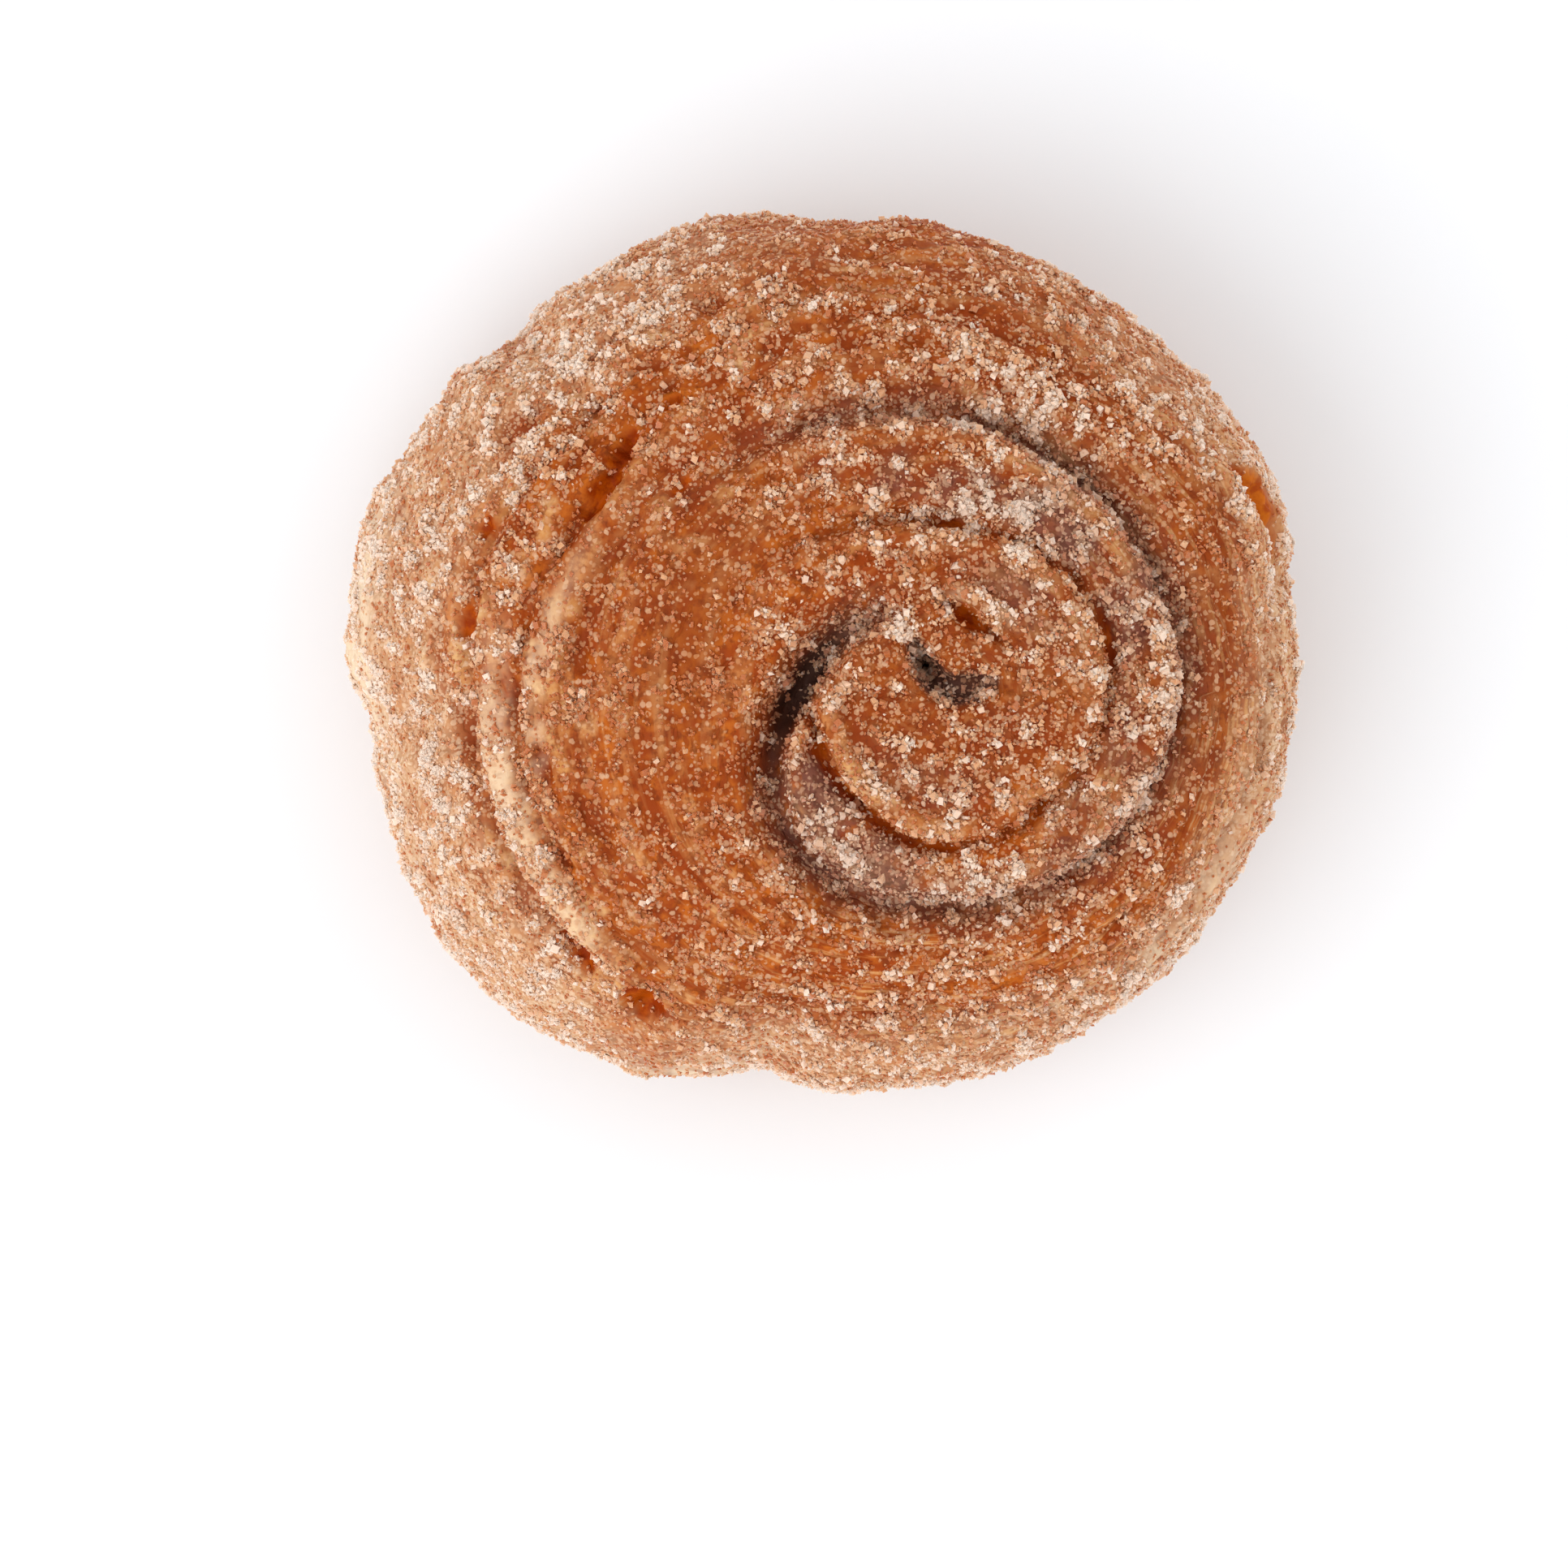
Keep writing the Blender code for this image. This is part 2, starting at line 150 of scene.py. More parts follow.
# Holes between torn layers: place from the swirl's centre, bearing, half length, half width, depth
HOLES = (
    (-37.9, 24.7, 60, 6.3, 0.9, 3.8), (-34.0, -34.8, -32, 2.9, 1.2, 2.6), (-42.0, -29.3, -50, 3.2, 0.7, 2.2),
    (-30.8, 33.0, 45, 1.6, 0.4, 1.4), (-52.0, 19.0, 60, 1.7, 0.5, 1.4), (-54.4, 8.4, 76, 2.2, 0.45, 1.5),
    (-50.2, 0.9, 92, 3.0, 0.3, 1.0), (-29.8, 23.4, 45, 2.0, 0.4, 1.3),
)
HOLE_REACH = 0.6

# Relief of the dough: wavelength and height of each size of unevenness, then the folded layers' edges
SWELLS = ((15.0, 0.9), (6.5, 0.35))
BLISTERS = ((3.4, 0.36), (1.6, 0.26), (0.9, 0.18))
SEED_POINT = (3.7, 1.9, 8.3)
# Tears of the rising crust: length against the strip's turn, depth, and height of their flakes
TEARS_PER_TURN = 11.0
TEAR_STRETCH = 8.0
TEAR_DEPTH = 0.9
FLAKE_HEIGHT = 0.22
LAYERS_PER_TURN = 11
LAYER_RELIEF = 0.36
LAYER_STRETCH = 2.6

TOP_RINGS = 140
INNER_RINGS = 78
INNER_REACH = 31.0
FLANK_RINGS = 32
BASE_RINGS = 3


def bump(distance, half_width):
    """A smooth bump, 1 at distance 0."""
    return np.exp(-((distance / half_width) ** 2))


def ease(value, low, high):
    """0 below low, 1 above high, smooth between."""
    share = np.clip((value - low) / (high - low), 0, 1)
    return share * share * (3 - 2 * share)


def shelf(aside, edge, width, slope=0.45):
    """A flat-topped rise from an edge to width beyond it, with short slopes at its sides."""
    beyond = ease(aside, edge + width - slope, edge + width + slope)
    return ease(aside, edge - slope, edge + slope) * (1 - beyond)


def facing(angle, towards, half_width):
    """1 at one bearing, falling off smoothly to its sides."""
    return bump((angle - towards + 180) % 360 - 180, half_width)


def unevenness(points, wavelength, seed=0.0):
    """Smooth noise at each of the points, from about -1 to 1."""
    shift = Vector(SEED_POINT) + Vector((seed, 0.7 * seed, -seed))
    return np.array([noise.noise(Vector(point) / wavelength + shift) for point in points])


def outline_radius(angle, lumpiness):
    """The outline's distance from the bun's middle: an oval with lumps."""
    width, depth = (np.array(BUN_HIGH) - np.array(BUN_LOW))[:2] / MM
    radius = 1 / np.hypot(np.cos(np.radians(angle)) * 2 / width, np.sin(np.radians(angle)) * 2 / depth)
    for centre, height, spread in OUTLINE_LUMPS:
        radius = radius + lumpiness * height * facing(angle, centre, spread)
    turn = np.radians(angle)
    around = np.stack([50 * np.cos(turn), 50 * np.sin(turn), 0 * turn], axis=-1)
    return radius + lumpiness * OUTLINE_FRAY * unevenness(around, 2.6, 7.0)


def along_seam(seam, column, angle):
    """A seam's size at an angle, read between its stations and smoothed."""
    angles, values = [row[0] for row in seam], [row[column] for row in seam]
    return sum(np.interp(angle + step, angles, values) for step in SEAM_SMOOTHING) / len(SEAM_SMOOTHING)


def crease(aside, floor, inner_reach, outer_reach):
    """A groove, 1 on its floor: steep below the inner turn's edge, gentle up onto the next turn."""
    rise = 1 - np.clip((np.abs(aside) - floor) / np.where(aside < 0, inner_reach, outer_reach), 0, 1)
    return rise**2 * (3 - rise) / 2


def seam_turns(seam, angle):
    """For each turn of a seam: whether it is there, its distance, depth and floor at each angle."""
    for turn in range(4):
        unwound = angle % 360 + 360 * turn
        present = (unwound >= seam[0][0]) & (unwound <= seam[-1][0])
        yield present, *[along_seam(seam, column, unwound) for column in (1, 2, 3)]


def seam_relief(angle, radius):
    """Depth of all the seams together, and the rise of their lips."""
    depths, lips = np.zeros_like(radius), np.zeros_like(radius)
    for seam, inner_reach, outer_reach, inner_lip, outer_lip in SEAMS:
        for present, distance, depth, floor in seam_turns(seam, angle):
            aside = radius - distance
            depth = depth * present
            depths += (depth * crease(aside, floor, inner_reach, outer_reach)) ** SEAM_BLEND
            strength = ease(depth, *LIP_DEPTHS)
            lips += inner_lip * strength * shelf(-aside, floor + 0.5 * inner_reach, LIP_WIDTH)
            lips += outer_lip * strength * shelf(aside, floor + 0.5 * outer_reach, LIP_WIDTH)
    return depths, lips


def ridge_relief(angle, radius):
    """Rise of the proud layer edges."""
    rise = np.zeros_like(radius)
    for ridge, width in RIDGES:
        present = (angle % 360 >= ridge[0][0]) & (angle % 360 <= ridge[-1][0])
        aside = radius - along_seam(ridge, 1, angle % 360)
        rise += along_seam(ridge, 2, angle % 360) * present * shelf(aside, -width / 2, width, 0.6)
    return rise


def pit_relief(x, y):
    """Depth of the pit at points measured from the swirl's centre."""
    deepest = np.zeros_like(x)
    for (start_x, start_y, *start), (end_x, end_y, *end) in zip(PIT, PIT[1:]):
        run_x, run_y = end_x - start_x, end_y - start_y
        share = np.clip(((x - start_x) * run_x + (y - start_y) * run_y) / (run_x**2 + run_y**2), 0, 1)
        aside = np.hypot(x - start_x - share * run_x, y - start_y - share * run_y)
        depth, floor = [first + (last - first) * share for first, last in zip(start, end)]
        deepest = np.maximum(deepest, depth * crease(aside, floor, PIT_REACH, PIT_REACH))
    return deepest


def hole_relief(x, y):
    """Depth of the holes at points measured from the swirl's centre."""
    deepest = np.zeros_like(x)
    for middle_x, middle_y, run, half_length, half_width, depth in HOLES:
        turn = math.radians(run)
        along = (x - middle_x) * math.cos(turn) + (y - middle_y) * math.sin(turn)
        aside = (y - middle_y) * math.cos(turn) - (x - middle_x) * math.sin(turn)
        open_share = np.sqrt(np.clip(1 - (along / half_length) ** 2, 0, 1))
        hole = depth * open_share * crease(aside, half_width * open_share, HOLE_REACH, HOLE_REACH)
        deepest = np.maximum(deepest, hole)
    return deepest


def winding(angle, radius, reach):
    """How many turns of the strip lie inside each point. Lines of equal winding follow the seams."""
    angle = angle % 360
    turns = np.array([along_seam(MAIN_SEAM, 1, angle + 360 * turn) for turn in (1, 2)])
    inner, outer = turns
    wound = np.where(radius < inner, radius / inner, 1 + (radius - inner) / (outer - inner))
    wound = np.where(radius > outer, 2 + (radius - outer) / np.maximum(reach - outer, 6.0), wound)
    return wound + angle / 360


def along_strip(angle, radius, reach):
    """Places measured in layers across the strip, and more slowly along it."""
    turn = np.radians(angle)
    wound = winding(angle, radius, reach) * LAYERS_PER_TURN
    return np.stack([wound, LAYER_STRETCH * np.cos(turn), LAYER_STRETCH * np.sin(turn)], axis=-1)


def layer_edges(strip):
    """Fine ridges where the folded dough's layers come out at the cut face, running along the strip."""
    return unevenness(strip, 1.0, 2.0) + 0.5 * unevenness(strip * (2.1, 1.7, 1.7), 1.0, 5.0)


def tears(angle, radius, reach):
    """Short torn cracks along the strip, above 0, and the flakes that stand up between them, below 0."""
    turn = np.radians(angle)
    across = TEARS_PER_TURN * winding(angle, radius, reach)
    tear_points = np.stack([across, TEAR_STRETCH * np.cos(turn), TEAR_STRETCH * np.sin(turn)], axis=-1)
    torn = unevenness(tear_points, 1.0, 41.0)
    outer_left = facing(angle, 180, 48) * ease(radius, 38, 43)
    upper = facing(angle, 115, 40) * ease(radius, 27, 33)
    likely = np.clip(0.30 + 0.9 * outer_left + 0.55 * upper, 0, 1) * ease(radius, 4, 8)
    return likely * (ease(torn, 0.24, 0.46) - ease(-torn, 0.24, 0.46))


def spoke_at(angle):
    """For spokes at angles about the bun's middle: rim points, bearing and length seen from the swirl."""
    outline = outline_radius(angle, 1.0)
    across = outline * np.cos(np.radians(angle)) - SWIRL_CENTRE[0]
    along = outline * np.sin(np.radians(angle)) - SWIRL_CENTRE[1]
    return across, along, np.degrees(np.arctan2(along, across)), np.hypot(across, along)


def dome_section(bearing, slope):
    """Share of the way to the rim, and height, at a slope of the dome's section."""
    swirl_side = (1 + np.cos(np.radians(bearing))) / 2
    power = 2 / (ROUNDNESS_LONG_SIDE + (ROUNDNESS_SWIRL_SIDE - ROUNDNESS_LONG_SIDE) * swirl_side)
    rim_level = RIM_LEVEL + RIM_LEVEL_SWAY * np.cos(np.radians(bearing))
    height = rim_level + ((BUN_HIGH[2] - BUN_LOW[2]) / MM - rim_level) * np.cos(slope) ** power
    return np.sin(slope) ** power, height


def even_slopes(spokes=180, samples=400):
    """Slopes at which the rings cross each spoke: close together at the swirl, wider on the shoulders."""
    angle = np.arange(spokes) * 360 / spokes
    slope = np.linspace(0, np.pi / 2, samples)
    table = []
    for bearing, reach in zip(*spoke_at(angle)[2:]):
        share, height = dome_section(bearing, slope)
        steps = np.hypot(np.diff(share * reach), np.diff(height))
        length = np.concatenate([[0], np.cumsum(steps)])
        inner = np.linspace(0, INNER_REACH * length[-1] / 65, INNER_RINGS + 1)
        outer = np.linspace(inner[-1], length[-1], TOP_RINGS - INNER_RINGS + 1)
        table.append(np.interp(np.concatenate([inner, outer[1:]]), length, slope))
    return angle, np.array(table)


def top_points():
    """Angle, slope and plan data of the top's points, ring by ring, with six more points on each ring."""
    spoke_angles, slopes = even_slopes()
    angle = np.concatenate([np.arange(6 * ring) * 60 / ring for ring in range(1, TOP_RINGS + 1)])
    ring = np.concatenate([np.full(6 * ring, ring) for ring in range(1, TOP_RINGS + 1)])
    slope = np.zeros_like(angle)
    for number in range(1, TOP_RINGS + 1):
        there = ring == number
        slope[there] = np.interp(angle[there], spoke_angles, slopes[:, number], period=360)
    return np.concatenate([[0.0], angle]), np.concatenate([[1e-4], slope])


def shape_top():
    """The cut face and shoulders: positions in mm, and what each point is like."""
    angle, slope = top_points()
    across, along, bearing, reach = spoke_at(angle)
    share, z = dome_section(bearing, slope)
    plan = np.stack([SWIRL_CENTRE[0] + share * across, SWIRL_CENTRE[1] + share * along, z], axis=-1)
    radius = share * reach
    torn = radius + sum(width * unevenness(plan, wave, 17.0) for wave, width in FRAY) * ease(radius, 4, 12)
    ragged = unevenness(plan, 2.4, 53.0)
    depths, lips = seam_relief(bearing, torn)
    lips *= 1 + 0.5 * ragged
    pit = pit_relief(share * across, share * along)
    holes = hole_relief(share * across, share * along)
    depth = (depths + pit**SEAM_BLEND + holes**SEAM_BLEND) ** (1 / SEAM_BLEND)
    depth *= 1 + 0.5 * ragged * (1 - ease(depth, 2.5, 5.0))
    ridges = ridge_relief(bearing, torn) * (1 + 0.7 * ragged)
    strip = along_strip(bearing, radius, reach)
    layers = layer_edges(strip)
    torn_crust = tears(bearing, torn, reach) * (1 - ease(ridges + lips, 0.1, 0.4))
    torn_crust = torn_crust * (1 - ease(share, 0.88, 0.96))
    torn_crust *= 1 - ease(holes, 0.05, 0.3)

    # The layers stand out most on the right of the outer turn and over the two proud edges
    grooved = 0.9 * facing(bearing, 350, 45) * ease(radius, 28, 31) + 0.8 * np.clip(ridges, 0, 1)
    rise = lips + ridges - depth
    rise += sum(height * unevenness(plan, wave) for wave, height in SWELLS)
    rise += sum(height * unevenness(plan, wave, 11.0) for wave, height in BLISTERS)
    rise += np.where(torn_crust > 0, -TEAR_DEPTH, -FLAKE_HEIGHT) * torn_crust * (1 - ease(depth, 1.0, 2.5))
    rise += LAYER_RELIEF * layers * ease(radius, 8, 20) * (0.6 + 0.6 * ease(share, 0.6, 0.95) + grooved)
    outwards = np.sin(slope) ** 3
    upwards = np.cos(slope)
    length = np.hypot(outwards, upwards)
    turn = np.radians(angle)
    points = plan + (rise / length)[:, None] * np.stack(
        [outwards * np.cos(turn), outwards * np.sin(turn), upwards], axis=-1
    )
    looks = {"bearing": bearing, "radius": torn, "share": share, "depth": depth, "pit": pit, "hole": holes,
             "ridge": ridges + lips, "layers": layers, "torn": torn_crust, "down": np.zeros_like(share),
             "wound": strip[:, 0]}
    return points, looks, rise[-6 * TOP_RINGS:]


def shape_side(top, rim_rise):
    """The strip's outer face, from the rim down round the foot and in under the bun."""
    angle = np.arange(6 * TOP_RINGS) * 60 / TOP_RINGS
    _, _, bearing, reach = spoke_at(angle)
    rim_level = top[-len(angle):, 2]
    points, looks = [], {"bearing": [], "down": []}
    for step in range(1, FLANK_RINGS + 1):
        down = step / FLANK_RINGS
        inset = FOOT_TAPER * down + FOOT_ROUNDING * (1 - math.sqrt(1 - down**4))
        radius = outline_radius(angle, 1 - (1 - FOOT_LUMPINESS) * down) - inset
        turn = np.radians(angle)
        ring = np.stack([radius * np.cos(turn), radius * np.sin(turn), rim_level * (1 - down)], axis=-1)
        rise = rim_rise * (1 - down) ** 2
        rise += sum(height * unevenness(ring, wave) for wave, height in SWELLS) * down
        blistered = sum(height * unevenness(ring, wave, 11.0) for wave, height in BLISTERS)
        rise += blistered * (1 - (1 - down) ** 2)
        rise *= 1 - down**8
        points.append(ring + rise[:, None] * np.stack([np.cos(turn), np.sin(turn), 0 * turn], axis=-1))
        looks["bearing"].append(bearing)
        looks["down"].append(np.full_like(bearing, down))
    for step in range(1, BASE_RINGS + 1):
        ring = points[FLANK_RINGS - 1] * (1 - 0.02 * step**1.5)
        points.append(ring)
        looks["bearing"].append(bearing)
        looks["down"].append(np.full_like(bearing, 1.0))
    return np.vstack(points), {name: np.concatenate(values) for name, values in looks.items()}


def crust_faces():
    """Triangles of the widening rings on top, quads down the side, and the flat underside."""
    faces = [(0, 1 + step, 1 + (step + 1) % 6) for step in range(6)]
    inner_start = 1
    for ring in range(2, TOP_RINGS + 1):
        outer_start = inner_start + 6 * (ring - 1)
        for sextant in range(6):
            inner = [inner_start + (sextant * (ring - 1) + k) % (6 * (ring - 1)) for k in range(ring)]
            outer = [outer_start + (sextant * ring + k) % (6 * ring) for k in range(ring + 1)]
            faces += [(inner[k], outer[k], outer[k + 1]) for k in range(ring)]
            faces += [(inner[k], outer[k + 1], inner[k + 1]) for k in range(ring - 1)]
        inner_start = outer_start
    count = 6 * TOP_RINGS
    for ring in range(FLANK_RINGS + BASE_RINGS):
        start = inner_start + ring * count
        below = start + count
        faces += [
            (start + k, below + k, below + (k + 1) % count, start + (k + 1) % count) for k in range(count)
        ]
    last = inner_start + (FLANK_RINGS + BASE_RINGS) * count
    faces.append(tuple(range(last + count - 1, last - 1, -1)))
    return faces


def fill_in(looks, count):
    """What the side's points are like, for the values that only the top works out."""
    zero = np.zeros(count)
    filled = {name: zero for name in ("depth", "pit", "hole", "ridge", "layers", "torn")}
    outer_layers = LAYERS_PER_TURN * (3 + 0.3 * np.arange(count) / count)
    filled.update(radius=zero + 60, share=zero + 1, wound=outer_layers)
    filled.update(looks)
    filled["down"] = np.pad(looks["down"], (0, count - len(looks["down"])), constant_values=1.0)
    return filled


BUN_LOW, BUN_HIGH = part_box("morning_bun")
top, top_looks, rim_rise = shape_top()
side, side_looks = shape_side(top, rim_rise)
side_looks = fill_in(side_looks, len(side))
looks = {name: np.concatenate([top_looks[name], side_looks[name]]) for name in top_looks}

# The finished crust is fitted to the bun's box, so that it never outgrows it
crust_points = np.vstack([top, side])
low, high = crust_points.min(axis=0), crust_points.max(axis=0)
box_low, box_high = np.array(BUN_LOW), np.array(BUN_HIGH)
crust_points = box_low + (crust_points - low) * (box_high - box_low) / (high - low)

mesh = bpy.data.meshes.new("bun_crust")
mesh.from_pydata(crust_points.tolist(), [], crust_faces())
mesh.validate()
mesh.shade_smooth()
crust = bpy.data.objects.new("bun_crust", mesh)
bpy.context.scene.collection.objects.link(crust)

# What each point of the crust is like, from 0 to 1, for the finish and for where the sugar sticks
bearing, radius, share, down = looks["bearing"], looks["radius"], looks["share"], looks["down"]
crust_mm = crust_points / MM
turn = np.radians(bearing)
from_swirl = np.stack([radius * np.cos(turn), radius * np.sin(turn), 0 * radius], axis=-1)


def patches(places):
    """Soft-edged patches: bearing and half width in degrees, distance, width, softness and amount."""
    return sum(
        amount * facing(bearing, towards, half_angle) * shelf(radius, distance, width, softness)
        for towards, half_angle, distance, width, softness, amount in places
    )


# Cinnamon shows where the main seam opens, over the turn inside it, and most at that turn's loose end.
# The second turn comes in and fades out between these unwound angles.
SECOND_TURN_START = (556, 566)
SECOND_TURN_END = (800, 860)
FULL_STAIN_DEPTH = 4.5
STAIN_REACH = 3.0
near_filling = np.zeros_like(radius)
second_turn = np.zeros_like(radius)
inner_turns = list(seam_turns(INNER_SEAM, bearing))
for number, (present, seam_at, seam_depth, _) in enumerate(seam_turns(MAIN_SEAM, bearing)):
    aside = radius - seam_at
    stain = present * np.clip(seam_depth / FULL_STAIN_DEPTH, 0, 1) * (0.75 + 0.25 * facing(bearing, 165, 45))
    near_filling = np.maximum(near_filling, stain * ease(aside, -3.2, -0.4) * bump(aside, STAIN_REACH))
    inside = inner_turns[max(number - 1, 0)][1]
    unwound = bearing % 360 + 360 * number
    there = ease(unwound, *SECOND_TURN_START) * (1 - ease(unwound, *SECOND_TURN_END))
    there = there * ease(radius, inside, inside + 1) * (1 - ease(radius, seam_at, seam_at + 1))
    second_turn = np.maximum(second_turn, there)
roll_end = second_turn * facing(bearing, 220, 32)
stain_patches = unevenness(from_swirl, 5.0, 23.0)

# Where the sugar lies thickest: angle and distance from the swirl's centre, half widths of both, amount.
# An amount below 0 is a place where it has come off.
SUGAR_HEAPS = (
    (77, 21.8, 13, 1.8, 2.8), (22, 25.6, 28, 1.8, 0.35), (60, 25.4, 24, 2.2, 0.1), (88, 27.5, 14, 2.6, 0.5),
    (70, 35.0, 11, 2.6, 0.8), (122, 9.0, 10, 1.3, 1.0), (112, 7.0, 12, 1.4, 0.7), (22, 11.4, 12, 1.2, 0.7),
    (60, 11.8, 14, 0.9, 0.9), (48, 17.3, 14, 1.2, 0.7), (60, 14.6, 14, 1.5, -1.0),
    (274, 21.6, 20, 1.6, 1.4), (340, 25.0, 22, 1.5, 0.4), (319, 18.5, 6, 1.4, 0.9),
    (217, 28.0, 9, 2.2, 0.7), (319, 33.5, 7, 2.2, 0.3), (300, 31.0, 9, 2.0, 0.1),
    (340, 29.0, 14, 2.0, -0.6), (138, 55.0, 12, 4.0, 0.6), (229, 52.0, 10, 4.0, -0.9),
    (40, 40.0, 14, 3.0, 0.2), (105, 38.0, 14, 3.5, 0.1), (232, 19.6, 8, 1.6, 0.9),
    (215, 19.5, 10, 2.0, -0.4), (252, 19.6, 12, 1.8, -0.6), (205, 8.0, 30, 3.0, -0.35),
    (150, 32.0, 16, 4.0, -0.5), (185, 30.0, 25, 3.0, -0.25), (200, 20.0, 8, 2.0, -0.3),
    (97, 51.0, 25, 4.0, -0.15), (208, 32.0, 9, 3.0, -0.25), (50, 36.0, 9, 2.0, 0.1),
    (330, 38.2, 9, 1.5, -0.5), (255, 27.0, 10, 1.5, -0.4), (230, 27.0, 7, 1.5, 0.3),
    (155, 53.5, 4, 1.6, 0.8), (163, 59.0, 5, 1.6, 0.9), (173, 50.6, 3, 1.2, 0.9), (190, 58.5, 7, 1.8, 0.7),
    (215, 53.0, 6, 1.4, 0.8), (205, 40.5, 8, 0.8, 0.7), (154, 51.3, 4, 1.1, -0.7),
    (159, 54.6, 3, 1.4, -0.8), (170, 54.2, 4, 1.1, -0.8), (176, 56.4, 5, 1.3, -0.6),
    (187, 54.4, 4, 1.2, -0.8), (200, 52.4, 5, 0.9, -0.7),
)
heaps = sum(
    amount * facing(bearing, angle, half_angle) * bump(radius - distance, half_width)
    for angle, distance, half_angle, half_width, amount in SUGAR_HEAPS
)

# Dough that stayed bare: the caramelised tail of the outermost turn, the holes, and the floors of the grooves
# round the swirl and under its curl
TAIL_EDGE = 42.2
tail = shelf(bearing, 21, 20, 3.0) * ease(radius, 41.2, 41.8) * (1 - ease(down, 0.02, 0.12))
amber_edge = TAIL_EDGE + 1.8 * facing(bearing, 31, 8)
amber = tail * (1 - ease(radius, amber_edge - 0.3, amber_edge + 0.5)) * (1 - ease(share, 0.975, 0.995))
grooves = ease(looks["depth"], 1.5, 2.6) * shelf(radius, 13.5, 9.5) * (1 - near_filling)
grooves = grooves * ease(stain_patches + facing(bearing, 235, 45), -0.1, 0.3)
curl = ease(looks["depth"], 0.9, 2.0) * facing(bearing, 72, 18) * shelf(radius, 8.2, 2.6)
bare = np.clip(ease(looks["hole"], 0.5, 1.2) + 0.85 * grooves + curl, 0, 1)

# The broad band left of the swirl, the thinly sugared turn right of it, and the frosted rim and sides
band = facing(bearing, 185, 50) * ease(radius, 21, 25) * (1 - ease(radius, 44, 50))
thin_sugar = facing(bearing, 355, 40) * shelf(radius, 29.5, 9.0, 1.5)
rim = ease(share + 0.05 * facing(bearing, 178, 42), 0.80, 0.96)
coat = unevenness(crust_mm, 4.2, 67.0)
frosted = 0.60 + 0.34 * facing(bearing, 205, 70) + 0.42 * facing(bearing, 350, 32)
frosted = rim * (frosted - 0.6 * facing(bearing, 95, 28)) * (0.92 + 0.45 * coat)
frosted = np.maximum(frosted, 0.6 * ease(down + 0.12 * coat, 0.0, 0.55))
frosted = np.clip(frosted, 0, 1) * (1 - bare) * (1 - amber) * (1 + 0.7 * np.clip(heaps, -1, 0))

# Golden lips and flakes, the cracks between layers, and darker dough: deeper baking over the swirl,
# and painted shade on the top and right
golden = np.clip(looks["ridge"] / 0.6, 0, 1) * (1 - 0.8 * near_filling)
golden_swirl = 0.25 + 0.6 * facing(bearing, 245, 50) + facing(bearing, 50, 30)
golden = golden * np.where(radius > 38, 1 - 0.35 * facing(bearing, 150, 14), golden_swirl)
golden = np.clip(golden + tail + np.clip(-looks["torn"], 0, 1) * ease(radius, 24, 30), 0, 1)
left_cracks = 0.8 * ease(looks["depth"], 0.5, 1.4) * facing(bearing, 190, 26) * ease(radius, 40, 44)
right_cracks = 0.7 * ease(looks["depth"], 0.6, 1.6) * facing(bearing, 350, 35) * ease(radius, 34, 36)
cracked = np.maximum(np.clip(looks["torn"], 0, 1), np.maximum(left_cracks, right_cracks))
baked_and_shaded = 0.92 * (1 - ease(radius, 10.5, 13.5)) + 0.08 * band + 0.15 * (1 - rim)
# The next two terms darken the top and the right, the sides turned from the main light: painted shade
baked_and_shaded = baked_and_shaded + 0.50 * facing(bearing, 85, 50) * (1 - 0.6 * ease(share, 0.88, 0.98))
baked_and_shaded = baked_and_shaded + 0.80 * facing(bearing, 0, 45) * (1 - ease(share, 0.80, 0.92))
baked_and_shaded = baked_and_shaded + patches(((162, 30, 26.0, 9.0, 3.0, 0.8),))

# Pale dough, little baked: the plain far left, parts of the rim, the two proud edges, a few broken patches
# on top, and wide soft ones on the side
PALE_PATCHES = (
    (188, 8, 49.6, 3.0, 0.45, 0.3), (310, 24, 36.8, 1.7, 0.5, 0.7), (66, 20, 10.9, 1.3, 0.5, 0.5),
    (182, 12, 45.4, 2.8, 0.6, 0.35),
)
blotches = unevenness(crust_mm, 3.4, 71.0)
plain_side = ease(share, 0.95, 0.99) * facing(bearing, 174, 9) * (1 - ease(down, 0.05, 0.2))
plain_side = plain_side * ease(blotches, -0.4, 0.2)
pale_edge = 1.25 * facing(bearing, 178, 16) + facing(bearing, 236, 6) + 0.6 * facing(bearing, 322, 9)
pale_edge = pale_edge * ease(share, 0.94, 0.99) * (1 - ease(down, 0.05, 0.25)) * (1 - tail)
pale_edge = pale_edge * (0.45 + 0.55 * ease(blotches, -0.25, 0.3))
proud = np.clip(looks["ridge"], 0, 1)
upper_edge = ease(radius - 0.1 * (bearing % 360 - 165), 43.0, 44.4) * facing(bearing, 171, 12)
lower_edge = ease(radius, 46.5, 48) * facing(bearing, 198, 22)
pale_edge = pale_edge + proud * (0.5 * upper_edge + 0.8 * lower_edge)
pale_edge = pale_edge + ease(unevenness(from_swirl, 1.9, 61.0), -0.3, 0.3) * patches(PALE_PATCHES)
pale_side = 0.5 * shelf(down, 0.35, 0.40, 0.2) * ease(unevenness(crust_mm, 14.0, 3.0), -0.4, 0.4)
pale_edge = np.clip(pale_edge + pale_side + 0.7 * plain_side, 0, 1)

